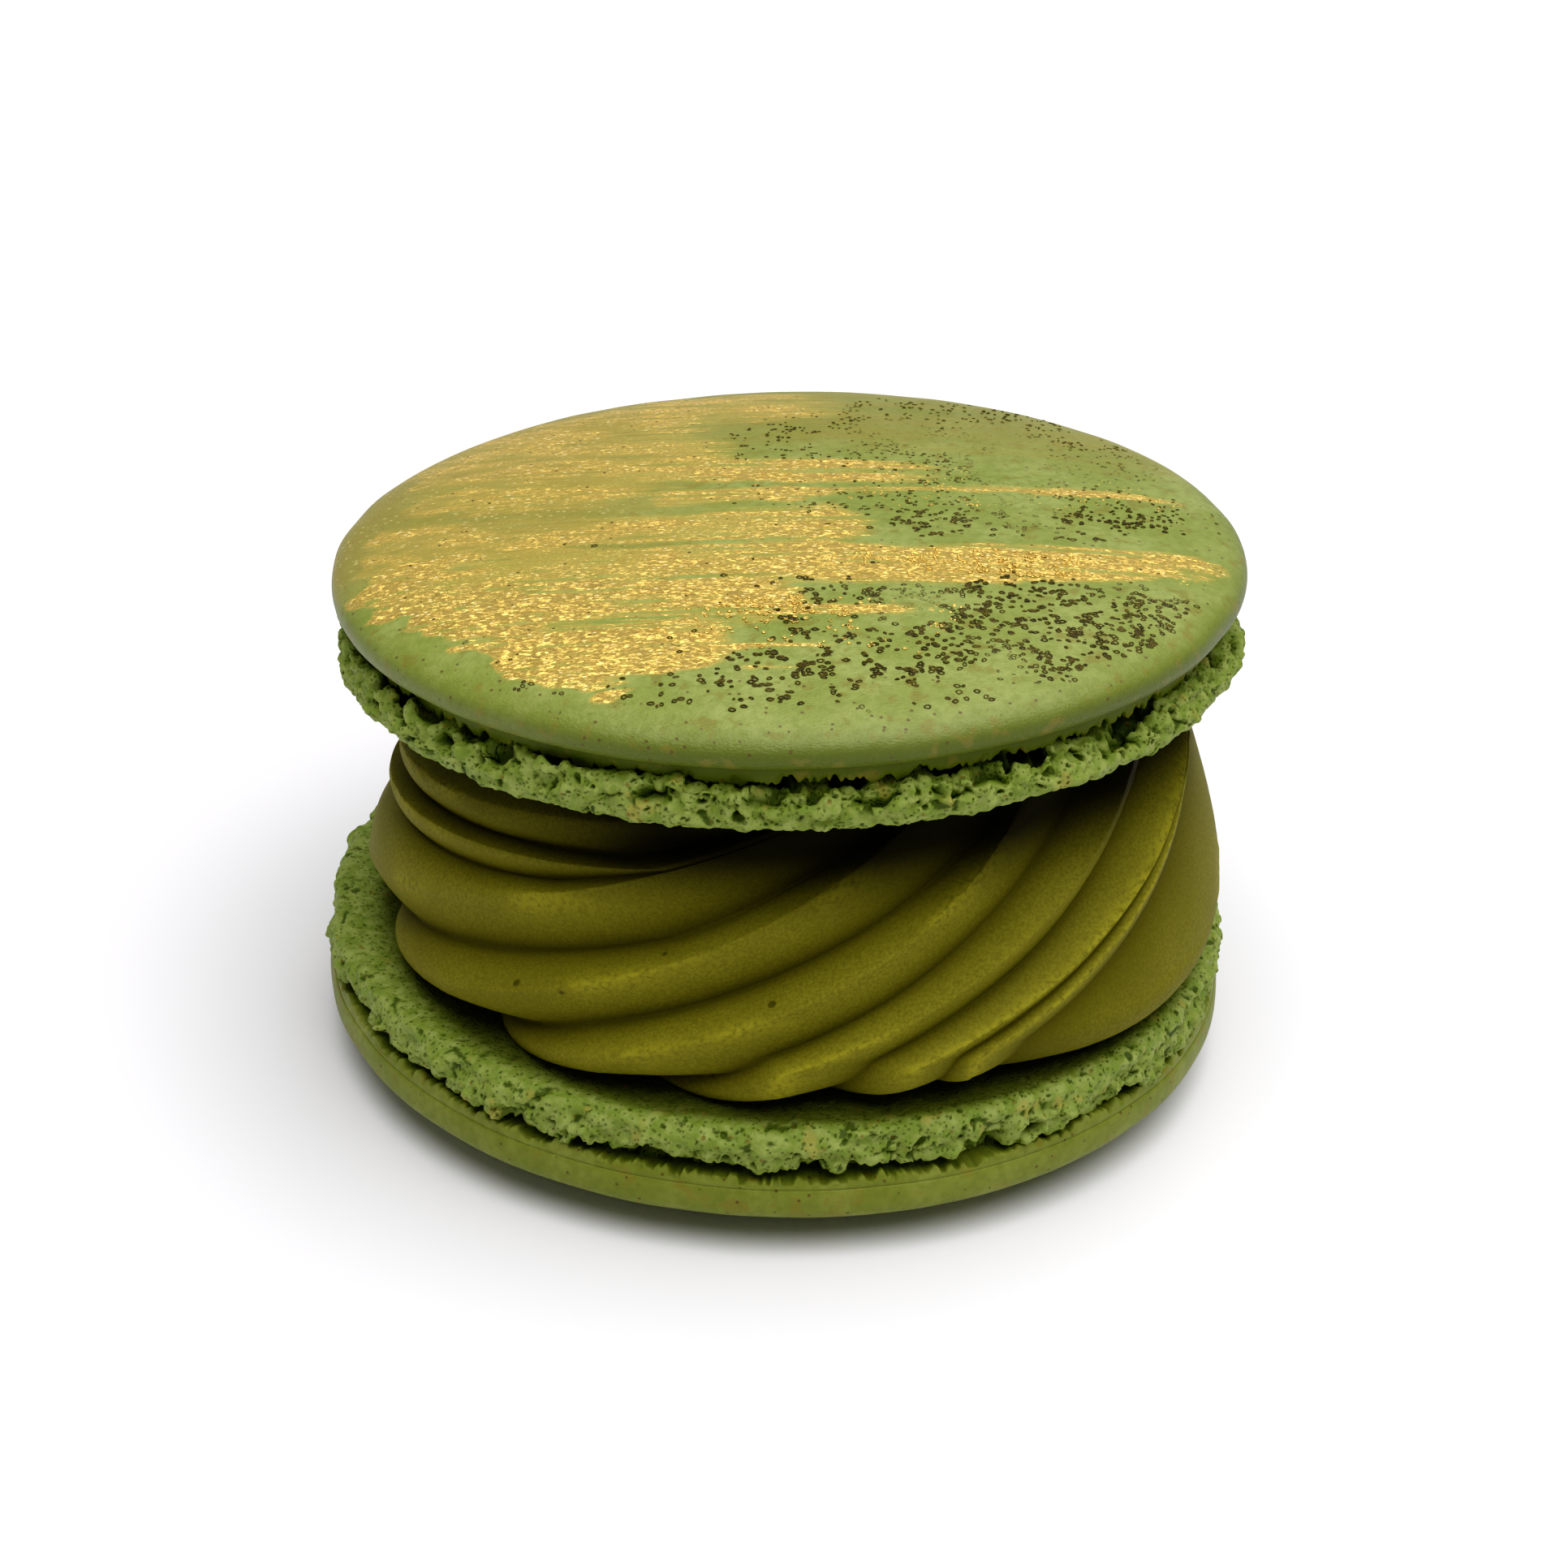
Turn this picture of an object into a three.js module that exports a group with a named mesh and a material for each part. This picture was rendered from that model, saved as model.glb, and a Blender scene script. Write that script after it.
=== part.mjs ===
// A large French macaron: two almond meringue shells with a tall swirl of piped ganache between them.
//
// Each shell is one piece. It has a smooth, low dome (the cap) with a rolled rim, a thin ragged lip
// under the rim, a dark crack, and the foot: a frilly band of bubbles that ends at the flat side.
// The lower shell lies cap down. The upper one lies cap up on the swirl, leaning a little to the back left.
// The swirl was piped through a star nozzle while turning, so its ridges climb round it as they rise,
// each hanging a little over the next.
//
// Millimetres, +Z up. The origin is on the table, under the middle of the macaron. -Y is the front.

import * as THREE from "three";

// ---------------------------------------------------------------- driving sizes

const TURN = 2 * Math.PI;
const degrees = THREE.MathUtils.degToRad;

const LOWER_SHELL = {
  rimRadius: 25.0, // the macaron is 50 mm across
  domeHeight: 3.25, // from the pole of the full dome to the rim
  restRadius: 8.0, // the dome is pressed flat here, where it stands on the table
  footRise: 4.35, // from the rim to the flat side
  footRadius: 24.85, // where the foot is fullest
  seed: 3,
};

const UPPER_SHELL = {
  rimRadius: 24.4,
  domeHeight: 3.05,
  restRadius: 0.0,
  footRise: 4.12,
  footRadius: 24.25,
  seed: 11,
};

const DOME_POWER = 2.14; // 2 would be an ellipse; a little more keeps the dome full out to the rim
const CREASE_RISE = 0.9; // from the rim to the crease under it
const LIP_RISE = 1.42; // from the rim to the edge of the ragged lip
const CRACK_HEIGHT = 0.6; // from the lip to the bottom of the foot
const CRACK_DEPTH = 1.9; // how far the crack cuts in behind the lip

const SWIRL_HEIGHT = 15.85; // from the lower shell's flat side to the upper shell's, at the middle
const UPPER_SHIFT = 0.2; // how far right of the lower shell the upper one sits
const UPPER_PITCH = degrees(-2.3); // lifts the front edge of the upper shell
const UPPER_ROLL = degrees(-2.6); // lifts its right edge
const CONTACT_GAP = 0.3; // left between the swirl and each shell

const SWIRL = {
  middleX: 0.9, // it was piped a little to the front right
  middleY: -1.3,
  puff: 1.3, // how far the face between two ridges bulges, at the very bottom
  bellyRadius: 23.5,
  bellyLevel: 0.2, // share of the height at which the swirl is widest
  topRadius: 19.9,
  twist: degrees(96), // how far the ridges climb round from bottom to top
  grooveDepth: 2.2, // between ridges a full step apart
  fullStep: degrees(26),
};

// The ridges in order round the swirl. For each one: where its crest is at half height, and how much
// further round it leans by the top than the twist alone would take it, in degrees; at the very bottom,
// how much further round it starts, in degrees, and its radius. Then the groove after the crest: its
// place at half height as a share of the way to the next crest, how much that share grows over the full
// height, and its depth as a share of the usual depth. Last, how round the crest is: 1 is sharp.
const RIDGES = [
  { crest: -141, lean: 20, start: 12, base: 21.0, groove: 0.9, drift: 0.95, depth: 1, round: 1.15 },
  { crest: -107, lean: -7, start: 15, base: 20.9, groove: 0.81, drift: 0.3, depth: 1, round: 1.15 },
  { crest: -82, lean: -18, start: 16, base: 21.3, groove: 0.76, drift: -0.35, depth: 1, round: 1.15 },
  { crest: -61, lean: -11, start: 25, base: 20.3, groove: 0.6, drift: -0.35, depth: 1, round: 1.15 },
  { crest: -41, lean: 7, start: 28, base: 19.6, groove: 0.8, drift: 0, depth: 1, round: 1.15 },
  { crest: -36, lean: -8, start: 27, base: 19.6, groove: 0.14, drift: 0, depth: 0.35, round: 1.15 },
  { crest: 24, lean: 0, start: 18, base: 21.0, groove: 0.65, drift: 0, depth: 1, round: 1.3 },
  { crest: 49, lean: 4, start: 15, base: 21.6, groove: 0.65, drift: 0.2, depth: 1, round: 1.3 },
  { crest: 73, lean: 0, start: 15, base: 21.6, groove: 0.7, drift: 0, depth: 1, round: 1.3 },
  { crest: 97, lean: 0, start: 15, base: 21.6, groove: 0.65, drift: -0.2, depth: 1, round: 1.3 },
  { crest: 120, lean: 25, start: 15, base: 21.6, groove: 0.7, drift: 0, depth: 1, round: 1.5 },
  { crest: 144, lean: 110, start: 12, base: 21.4, groove: 0.88, drift: 0, depth: 0.6, round: 1.9 },
  { crest: 171, lean: 140, start: 12, base: 21.2, groove: 0.57, drift: 2.3, depth: 0.55, round: 1.9 },
];
const MERGED_STEP = degrees(2); // between the crests of ridges that run together
const GROOVE_LIMITS = [0.1, 0.93]; // as shares of the way to the next crest
const WIDE_FACE = degrees(20); // a ridge face wider than this bulges

const CAP_SEGMENTS = 72; // round the smooth cap
const FOOT_SEGMENTS = 216; // round the frilly foot
const SWIRL_LEVELS = 20; // up the swirl
const POINTS_PER_FACE = 4; // from a crest to a groove, and from the groove to the next crest

// ---------------------------------------------------------------- small helpers

/** A ring of points; shape(turn) returns the radius and height, and turn runs from 0 to 1 round +Z. */
function ring(segments, shape) {
  return Array.from({ length: segments }, (_, i) => {
    const turn = i / segments;
    const [radius, height] = shape(turn);
    return [radius * Math.cos(turn * TURN), radius * Math.sin(turn * TURN), height];
  });
}

/** A repeatable number from 0 to 1 for a cell of a grid. */
function cellValue(column, row, seed) {
  const wave = Math.sin(column * 127.1 + row * 311.7 + seed * 74.7) * 43758.5453;
  return wave - Math.floor(wave);
}

/** Smooth lumps from -1 to 1, with `around` of them to the turn, so that they close up on themselves. */
function lumps(turn, row, around, seed) {
  const column = turn * around;
  const left = Math.floor(column);
  const below = Math.floor(row);
  const ease = (t) => t * t * (3 - 2 * t);
  const across = ease(column - left);
  const up = ease(row - below);
  const value = (a, b) => cellValue((left + a) % around, below + b, seed);
  const low = value(0, 0) * (1 - across) + value(1, 0) * across;
  const high = value(0, 1) * (1 - across) + value(1, 1) * across;
  return 2 * (low * (1 - up) + high * up) - 1;
}

/**
 * Closes a stack of rings into a solid. The first ring is the lowest, and each end is closed with a
 * fan round its middle point. Neighbouring rings may have different numbers of points.
 */
function solidFromRings(rings, firstCentre, lastCentre) {
  const starts = [];
  const points = [firstCentre];
  for (const one of rings) {
    starts.push(points.length);
    points.push(...one);
  }
  const top = points.push(lastCentre) - 1;
  const last = rings.length - 1;
  const faces = [];
  const at = (k, i) => starts[k] + (i % rings[k].length);

  /** Walks round two rings at once, always stepping on the one that is behind. */
  const bridge = (low, high) => {
    const lowCount = rings[low].length;
    const highCount = rings[high].length;
    let i = 0;
    let j = 0;
    while (i < lowCount || j < highCount) {
      const lowIsBehind = (i + 1) * highCount <= (j + 1) * lowCount;
      if (i < lowCount && (lowIsBehind || j >= highCount)) {
        faces.push(at(low, i), at(low, i + 1), at(high, j));
        i++;
      } else {
        faces.push(at(low, i), at(high, j + 1), at(high, j));
        j++;
      }
    }
  };

  rings[0].forEach((_, i) => faces.push(0, at(0, i + 1), at(0, i)));
  for (let k = 0; k < last; k++) {
    bridge(k, k + 1);
  }
  rings[last].forEach((_, i) => faces.push(at(last, i), at(last, i + 1), top));

  const geometry = new THREE.BufferGeometry();
  geometry.setAttribute("position", new THREE.Float32BufferAttribute(points.flat(), 3));
  geometry.setIndex(faces);
  geometry.computeVertexNormals();
  return geometry;
}

// ---------------------------------------------------------------- the shells, built cap down

/** Height of the dome above its pole: nearly an ellipse from the pole out to the rim. */
function domeHeightAt(radius, shell) {
  return shell.domeHeight * (1 - Math.sqrt(1 - (radius / shell.rimRadius) ** DOME_POWER));
}

/** Height of the rim above the lowest point, once the dome is pressed flat where it stands. */
function rimHeight(shell) {
  return shell.domeHeight - domeHeightAt(shell.restRadius, shell);
}

/** Full thickness of a shell, from its lowest point to its flat side. */
function shellThickness(shell) {
  return rimHeight(shell) + shell.footRise;
}

/** The smooth cap from its first ring to the rim, with rings that crowd together as the curve turns up. */
function capRings(shell) {
  const firstRadius = Math.max(shell.restRadius, 0.3 * shell.rimRadius);
  const pressed = domeHeightAt(shell.restRadius, shell);
  const shares = [0, 0.4, 0.68, 0.86, 0.95, 0.99, 1];
  return shares.map((share) => {
    const radius = firstRadius + (shell.rimRadius - firstRadius) * share;
    return ring(CAP_SEGMENTS, () => [radius, domeHeightAt(radius, shell) - pressed]);
  });
}

/** The rolled underside of the rim: it turns in to a crease, then runs up to a ragged lip. */
function lipRings(shell) {
  const { rimRadius, seed } = shell;
  const rim = rimHeight(shell);
  const ragged = (turn) => 0.1 * lumps(turn, 0, FOOT_SEGMENTS / 2, seed);
  return [
    ring(FOOT_SEGMENTS, () => [rimRadius - 0.1, rim + 0.5 * CREASE_RISE]),
    ring(FOOT_SEGMENTS, () => [rimRadius - 0.45, rim + CREASE_RISE]),
    ring(FOOT_SEGMENTS, (turn) => [rimRadius - 0.4, rim + LIP_RISE + ragged(turn)]),
  ];
}

/** The crack behind the lip, then the foot: a band of bubbly lumps that rolls over to the flat side. */
function footRings(shell) {
  const { footRadius, seed } = shell;
  const lip = rimHeight(shell) + LIP_RISE;
  const flat = shellThickness(shell);
  const bottom = lip + CRACK_HEIGHT;
  const level = (share) => bottom + (flat - bottom) * share;
  const crackRadius = footRadius - CRACK_DEPTH;
  // Crags of about 2.4 mm, with bubbles of about 1.2 mm on them.
  const crags = (turn, row) => 0.24 * lumps(turn, row, 64, seed + 1);
  const bubbles = (turn, row) => 0.2 * lumps(turn, 2 * row, 128, seed + 2);
  const bulge = (turn, row) => crags(turn, row) + bubbles(turn, row);
  const sag = (turn) => 0.2 * lumps(turn, 0, 72, seed + 3);
  return [
    ring(FOOT_SEGMENTS, () => [crackRadius, lip + 0.15]),
    ring(FOOT_SEGMENTS, () => [crackRadius, lip + 0.4]),
    ring(FOOT_SEGMENTS, (turn) => [footRadius - 0.5 + bulge(turn, 0), bottom + sag(turn)]),
    ring(FOOT_SEGMENTS, (turn) => [footRadius - 0.1 + bulge(turn, 1), level(0.3) + 0.5 * sag(turn)]),
    ring(FOOT_SEGMENTS, (turn) => [footRadius - 0.05 + bulge(turn, 2), level(0.64)]),
    ring(FOOT_SEGMENTS, (turn) => [footRadius - 0.25 + 0.6 * bulge(turn, 3), level(0.9)]),
    ring(CAP_SEGMENTS, () => [footRadius - 0.9, flat]),
  ];
}

/** A whole shell, cap down, with its lowest point at height 0. */
function shellGeometry(shell) {
  const rings = [...capRings(shell), ...lipRings(shell), ...footRings(shell)];
  return solidFromRings(rings, [0, 0, 0], [0, 0, shellThickness(shell)]);
}

// ---------------------------------------------------------------- the piped swirl

const swirlFloor = shellThickness(LOWER_SHELL) + CONTACT_GAP;
const upperFlat = new THREE.Vector3(UPPER_SHIFT, 0, shellThickness(LOWER_SHELL) + SWIRL_HEIGHT);
const upperTilt = new THREE.Euler(UPPER_PITCH, UPPER_ROLL, 0);
const upperNormal = new THREE.Vector3(0, 0, 1).applyEuler(upperTilt);

/** Height of the swirl's top above a point: it follows the flat side of the leaning upper shell. */
function swirlCeiling(x, y) {
  const fall = (upperNormal.x * (x - upperFlat.x) + upperNormal.y * (y - upperFlat.y)) / upperNormal.z;
  return upperFlat.z - fall - CONTACT_GAP;
}

/** How far a level, from 0 at the bottom to 1 at the top, is tucked in under the belly: 1 to 0. */
function tuck(level) {
  return Math.max(0, 1 - level / SWIRL.bellyLevel);
}

/** Radius of a ridge's crest at a level: a belly drawn in at each end. */
function crestRadius(ridge, level) {
  const { bellyRadius, bellyLevel, topRadius } = SWIRL;
  if (level < bellyLevel) {
    return bellyRadius - (bellyRadius - ridge.base) * tuck(level) ** 2.3;
  }
  return bellyRadius - (bellyRadius - topRadius) * ((level - bellyLevel) / (1 - bellyLevel)) ** 1.3;
}

/** Angle of a ridge's crest at a level. The climb is steep at the bottom and slows towards the top. */
function crestAngle(ridge, level) {
  const above = level - 0.5;
  const climb = SWIRL.twist * (above - 0.31 * above ** 2);
  const start = degrees(ridge.start) * tuck(level) ** 1.25;
  return degrees(ridge.crest) + climb + start + degrees(ridge.lean) * (level ** 2 - 0.25);
}

/** All the crests at a level, in order, and the first again. None passes the next: they run together. */
function crestAngles(level) {
  const angles = RIDGES.map((ridge) => crestAngle(ridge, level));
  for (let k = 1; k < angles.length; k++) {
    angles[k] = Math.max(angles[k], angles[k - 1] + MERGED_STEP);
  }
  angles.push(angles[0] + TURN);
  for (let k = RIDGES.length - 1; k > 0; k--) {
    angles[k] = Math.min(angles[k], angles[k + 1] - MERGED_STEP);
  }
  return angles;
}

/** One level of the swirl: from each crest in under the ridge to a sharp groove, and out to the next. */
function swirlRing(level) {
  const crests = crestAngles(level);
  const tucked = tuck(level);
  const pressed = 0.55 + 0.45 * Math.sin(Math.PI * (0.1 + 0.9 * level)); // shallower near the shells
  return RIDGES.flatMap((ridge, k) => {
    const step = crests[k + 1] - crests[k];
    const fullness = Math.min(1, step / SWIRL.fullStep);
    const depth = SWIRL.grooveDepth * ridge.depth * pressed * fullness;
    const place = THREE.MathUtils.clamp(ridge.groove + ridge.drift * (level - 0.5), ...GROOVE_LIMITS);
    const share = place * (1 - 0.8 * tucked ** 1.5); // at the bottom a groove ends close to its crest
    const groove = crests[k] + step * share;
    const bulge = Math.max(ridge.round, (crests[k + 1] - groove) / WIDE_FACE);
    const here = crestRadius(ridge, level);
    const next = crestRadius(RIDGES[(k + 1) % RIDGES.length], level);
    const point = (angle, inward, puff) => {
      const outer = here + ((next - here) * (angle - crests[k])) / step;
      const radius = outer - depth * inward + SWIRL.puff * tucked * fullness * puff;
      const x = SWIRL.middleX + radius * Math.cos(angle);
      const y = SWIRL.middleY + radius * Math.sin(angle);
      return [x, y, swirlFloor + level * (swirlCeiling(x, y) - swirlFloor)];
    };
    const parts = Array.from({ length: POINTS_PER_FACE }, (_, i) => i / POINTS_PER_FACE);
    return [
      ...parts.map((t) => point(crests[k] + (groove - crests[k]) * t, t ** ridge.round, 0)),
      ...parts.map((t) =>
        point(groove + (crests[k + 1] - groove) * t, (1 - t) ** bulge, Math.sin(Math.PI * t)),
      ),
    ];
  });
}

/** The whole swirl, with levels that crowd together near the bottom, where it rolls in. */
function swirlGeometry() {
  const { middleX, middleY } = SWIRL;
  const levels = Array.from({ length: SWIRL_LEVELS + 1 }, (_, i) => (i / SWIRL_LEVELS) ** 1.3);
  const bottom = [middleX, middleY, swirlFloor];
  const top = [middleX, middleY, swirlCeiling(middleX, middleY)];
  return solidFromRings(levels.map(swirlRing), bottom, top);
}

// ---------------------------------------------------------------- the macaron

const shellMaterial = new THREE.MeshStandardMaterial({ color: 0x8e9b48, roughness: 0.62, metalness: 0 });
const paintedMaterial = new THREE.MeshStandardMaterial({ color: 0x9da350, roughness: 0.5, metalness: 0 });
const ganacheMaterial = new THREE.MeshStandardMaterial({ color: 0x67620f, roughness: 0.45, metalness: 0 });

/** A named piece of the macaron. */
function piece(name, geometry, material) {
  const mesh = new THREE.Mesh(geometry, material);
  mesh.name = name;
  return mesh;
}

const macaron = new THREE.Group();
macaron.add(piece("shell_lower", shellGeometry(LOWER_SHELL), shellMaterial));
macaron.add(piece("swirl", swirlGeometry(), ganacheMaterial));

// The upper shell is turned over, and its flat side is laid on the swirl by the group it hangs in.
const upperShell = piece("shell_upper", shellGeometry(UPPER_SHELL), paintedMaterial);
upperShell.rotation.x = Math.PI;
upperShell.position.z = shellThickness(UPPER_SHELL);
const leaning = new THREE.Group();
leaning.position.copy(upperFlat);
leaning.rotation.copy(upperTilt);
leaning.add(upperShell);
macaron.add(leaning);

export default macaron;
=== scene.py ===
# %% [markdown]
# # A French macaron
#
# A macaron is two meringue shells with a filling between them. This one is large, 50 mm across, and its
# filling is a tall swirl of ganache, piped through a star nozzle. The upper shell was brushed with gold
# lustre and sprinkled with tea powder.
#
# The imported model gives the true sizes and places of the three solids: two shells and the swirl. This lesson
# builds a finer surface round each of them, then the finishes, then the light. Every surface is a function
# of two numbers, worked out for all its points at once with numpy.

import math

import bpy
import numpy as np
from mathutils import Euler, Matrix, Vector


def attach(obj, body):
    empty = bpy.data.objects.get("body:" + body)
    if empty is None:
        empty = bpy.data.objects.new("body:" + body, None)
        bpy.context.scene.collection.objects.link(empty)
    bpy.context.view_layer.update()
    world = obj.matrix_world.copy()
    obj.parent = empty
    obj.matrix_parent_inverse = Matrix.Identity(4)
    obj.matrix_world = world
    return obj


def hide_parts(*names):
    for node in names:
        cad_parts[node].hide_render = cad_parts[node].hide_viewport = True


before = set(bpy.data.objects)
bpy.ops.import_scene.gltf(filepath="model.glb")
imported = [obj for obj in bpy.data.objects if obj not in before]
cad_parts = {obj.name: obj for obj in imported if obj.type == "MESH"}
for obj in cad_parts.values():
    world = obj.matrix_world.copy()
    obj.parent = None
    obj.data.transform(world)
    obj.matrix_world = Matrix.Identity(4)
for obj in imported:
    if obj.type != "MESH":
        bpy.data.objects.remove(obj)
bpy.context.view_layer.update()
MM = 0.001
print("solids to dress:", sorted(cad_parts))

# %% [markdown]
# ## The camera
#
# The macaron is seen from about 28 degrees above the table, close up, and the camera is rolled by 2 degrees.
# A camera in Blender looks along its own -Z, so its three axes are worked out and put into a matrix.

# %% Camera
CAMERA_HEIGHT_ANGLE = math.radians(28.44)
CAMERA_ROLL = math.radians(2.07)
CAMERA_DISTANCE = 200.0
CAMERA_AIM = np.array([0.18, 0.0, 13.99])
CAMERA_LENS = 82.94
SENSOR_WIDTH = 36.0


def make_camera():
    """Looks at the aim point from its distance and height angle, turned round its own axis by the roll."""
    forward = np.array([0, math.cos(CAMERA_HEIGHT_ANGLE), -math.sin(CAMERA_HEIGHT_ANGLE)])
    level = np.array([1.0, 0, 0])
    upward = np.cross(level, forward)
    across = level * math.cos(CAMERA_ROLL) + upward * math.sin(CAMERA_ROLL)
    up = upward * math.cos(CAMERA_ROLL) - level * math.sin(CAMERA_ROLL)
    data = bpy.data.cameras.new("camera")
    data.lens = CAMERA_LENS
    data.sensor_width = SENSOR_WIDTH
    data.clip_start = 0.01
    data.clip_end = 10.0
    camera = bpy.data.objects.new("camera", data)
    place = Matrix(np.array([across, up, -forward]).T.tolist()).to_4x4()
    place.translation = Vector((CAMERA_AIM - forward * CAMERA_DISTANCE) * MM)
    camera.matrix_world = place
    bpy.context.scene.collection.objects.link(camera)
    bpy.context.scene.camera = camera
    return camera


camera = make_camera()
print("camera stands", round(camera.matrix_world.translation.z / MM), "mm above the table")

# %% [markdown]
# ## Sizes of the two shells
#
# Both shells are built cap down, with the lowest point at height 0, as the lower one lies on the table. From
# the bottom: a low dome, the rim, a crease under the rolled rim, a ragged lip, a crack, and the foot, which
# ends at the flat side. A dictionary for each shell keeps its numbers together.

# %% Shell sizes, in millimetres
CREASE_RISE = 0.9
CRACK_DEPTH = 1.9
SHOULDER = 2.6
TURN = 2 * math.pi


def shell_sizes(rest_radius, foot_rise, lip_rise, **sizes):
    """Adds the heights that follow from a shell's driving sizes. The dome's height above its pole is
    H (1 - (1 - (r / R) ^ p) ^ (1 / 2.6)), nearly an ellipse; `pressed` is what the table flattens."""
    share = (rest_radius / sizes["rim_radius"]) ** sizes["power"]
    pressed = sizes["dome_height"] * (1 - (1 - share) ** (1 / SHOULDER))
    rim = sizes["dome_height"] - pressed
    lip = rim + lip_rise
    heights = dict(rim=rim, crease=rim + CREASE_RISE, lip=lip, foot_bottom=lip + sizes["crack"])
    return dict(**sizes, **heights, flat=rim + foot_rise, pressed=pressed)


LOWER = shell_sizes(
    rim_radius=25.0, dome_height=3.2, power=2.3, rest_radius=8.0, roll=0.2,
    lip_rise=1.42, crack=0.5, foot_rise=4.35, foot_radius=24.85, seed=3)
UPPER = shell_sizes(
    rim_radius=24.4, dome_height=3.0, power=2.05, rest_radius=0.0, roll=1.0,
    lip_rise=1.7, crack=0.6, foot_rise=4.15, foot_radius=24.25, seed=11)
SWIRL_HEIGHT = 15.85
SWIRL_MIDDLE = np.array([0.9, -1.3])
UPPER_PLACE = Vector((0.2, 0, LOWER["flat"] + SWIRL_HEIGHT))
UPPER_TILT = Euler((math.radians(-2.3), math.radians(-2.6), 0)).to_matrix()

# %% [markdown]
# ## Noise, written out
#
# Food is uneven, so most shapes below add some noise. Blender's textures could give it, but a mesh needs the
# numbers themselves. Three kinds are enough: lumps round a ring, which repeat after one turn; smooth noise in
# space; and the distance to scattered centres, which makes bubbles.

# %% Soft steps, and lumps round a ring
def ease(t):
    """A smooth step from 0 to 1: 3 t^2 - 2 t^3."""
    return t * t * (3 - 2 * t)


def soft_step(t):
    """The same step, held at 0 before it and at 1 after it."""
    return ease(np.clip(t, 0, 1))


def ring_cell(column, row, seed):
    """A repeatable number from 0 to 1 for a cell of a flat grid: the fraction of a large sine."""
    wave = np.sin(column * 127.1 + row * 311.7 + seed * 74.7) * 43758.5453
    return wave - np.floor(wave)


def ring_lumps(turn, row, around, seed):
    """Smooth lumps from -1 to 1, with `around` of them to the turn: eased blends of four random corners."""
    left, below = np.floor(turn * around), np.floor(row)
    across, up = ease(turn * around - left), ease(row - below)
    corner = lambda right, above: ring_cell((left + right) % around, below + above, seed)
    low = corner(0, 0) * (1 - across) + corner(1, 0) * across
    high = corner(0, 1) * (1 - across) + corner(1, 1) * across
    return 2 * (low * (1 - up) + high * up) - 1


# %% Noise in space
def cell_number(cells, seed):
    """A repeatable number from 0 to 1 for each cell of a grid in space, by mixing the bits of its indices."""
    x, y, z = (cells[..., k].astype(np.int64) for k in range(3))
    mixed = (x * 73856093) ^ (y * 19349663) ^ (z * 83492791) ^ (seed * 2654435761)
    mixed = ((mixed ^ (mixed >> 13)) * 1274126177) & 0xFFFFFFFF
    mixed = ((mixed ^ (mixed >> 15)) * 2246822519) & 0xFFFFFFFF
    mixed = mixed ^ (mixed >> 16)
    return (mixed & 0xFFFFFF) / float(0x1000000)


def smooth_noise(points, size, seed):
    """Smooth noise from -1 to 1 with features of about `size`: an eased blend of a cell's eight corners."""
    scaled = points / size
    base = np.floor(scaled)
    part = ease(scaled - base)
    total = np.zeros(points.shape[:-1])
    for corner in np.ndindex(2, 2, 2):
        weight = np.prod(np.where(corner, part, 1 - part), axis=-1)
        total += weight * cell_number(base + corner, seed)
    return 2 * total - 1


def cloud(points, size, seed, octaves):
    """Several layers of smooth noise, each half as large and half as strong as the one before."""
    layers = [0.5**k * smooth_noise(points, size * 0.5**k, seed + 17 * k) for k in range(octaves)]
    return sum(layers) / sum(0.5**k for k in range(octaves))


def warped(points, amount, size, seed):
    """Points shifted along each axis by smooth noise, so that round shapes on them grow uneven."""
    return points + amount * np.stack([smooth_noise(points, size, seed + k) for k in range(3)], -1)


def nearest_centre(points, size, seed):
    """Distance to the nearest of the centres scattered one to a cell, and that centre's own random number."""
    scaled = points / size
    home = np.floor(scaled)
    best = np.full(points.shape[:-1], np.inf)
    number = np.zeros(points.shape[:-1])
    for step in np.ndindex(3, 3, 3):
        cell = home + np.array(step) - 1
        centre = cell + np.stack([cell_number(cell, seed + k) for k in range(3)], -1)
        distance = np.linalg.norm(scaled - centre, axis=-1)
        nearer = distance < best
        best = np.where(nearer, distance, best)
        number = np.where(nearer, cell_number(cell, seed + 3), number)
    return best * size, number


# %% [markdown]
# ## From a grid of points to a mesh
#
# Each piece below is a stack of closed rings, from its lowest point to its highest. Joining each ring to the
# next gives four-sided faces, and a fan of triangles closes each end, so the mesh has no holes. Blender takes
# whole arrays through `foreach_set`, which is much faster than adding vertices one by one.

# %% Mesh helpers
def mesh_object(name, points, quads, triangles=None):
    """A mesh object from points in millimetres and arrays of corner numbers."""
    loose = np.zeros((0, 3), int) if triangles is None else triangles
    corners = np.concatenate([quads.ravel(), loose.ravel()])
    totals = np.concatenate([np.full(len(quads), 4), np.full(len(loose), 3)])
    mesh = bpy.data.meshes.new(name)
    mesh.vertices.add(len(points))
    mesh.vertices.foreach_set("co", (points * MM).astype(np.float32).ravel())
    mesh.loops.add(len(corners))
    mesh.loops.foreach_set("vertex_index", corners.astype(np.int32))
    mesh.polygons.add(len(totals))
    mesh.polygons.foreach_set("loop_start", np.concatenate([[0], np.cumsum(totals)[:-1]]).astype(np.int32))
    mesh.polygons.foreach_set("loop_total", totals.astype(np.int32))
    mesh.polygons.foreach_set("use_smooth", np.ones(len(totals), bool))
    mesh.update(calc_edges=True)
    piece = bpy.data.objects.new(name, mesh)
    bpy.context.scene.collection.objects.link(piece)
    return piece


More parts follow.
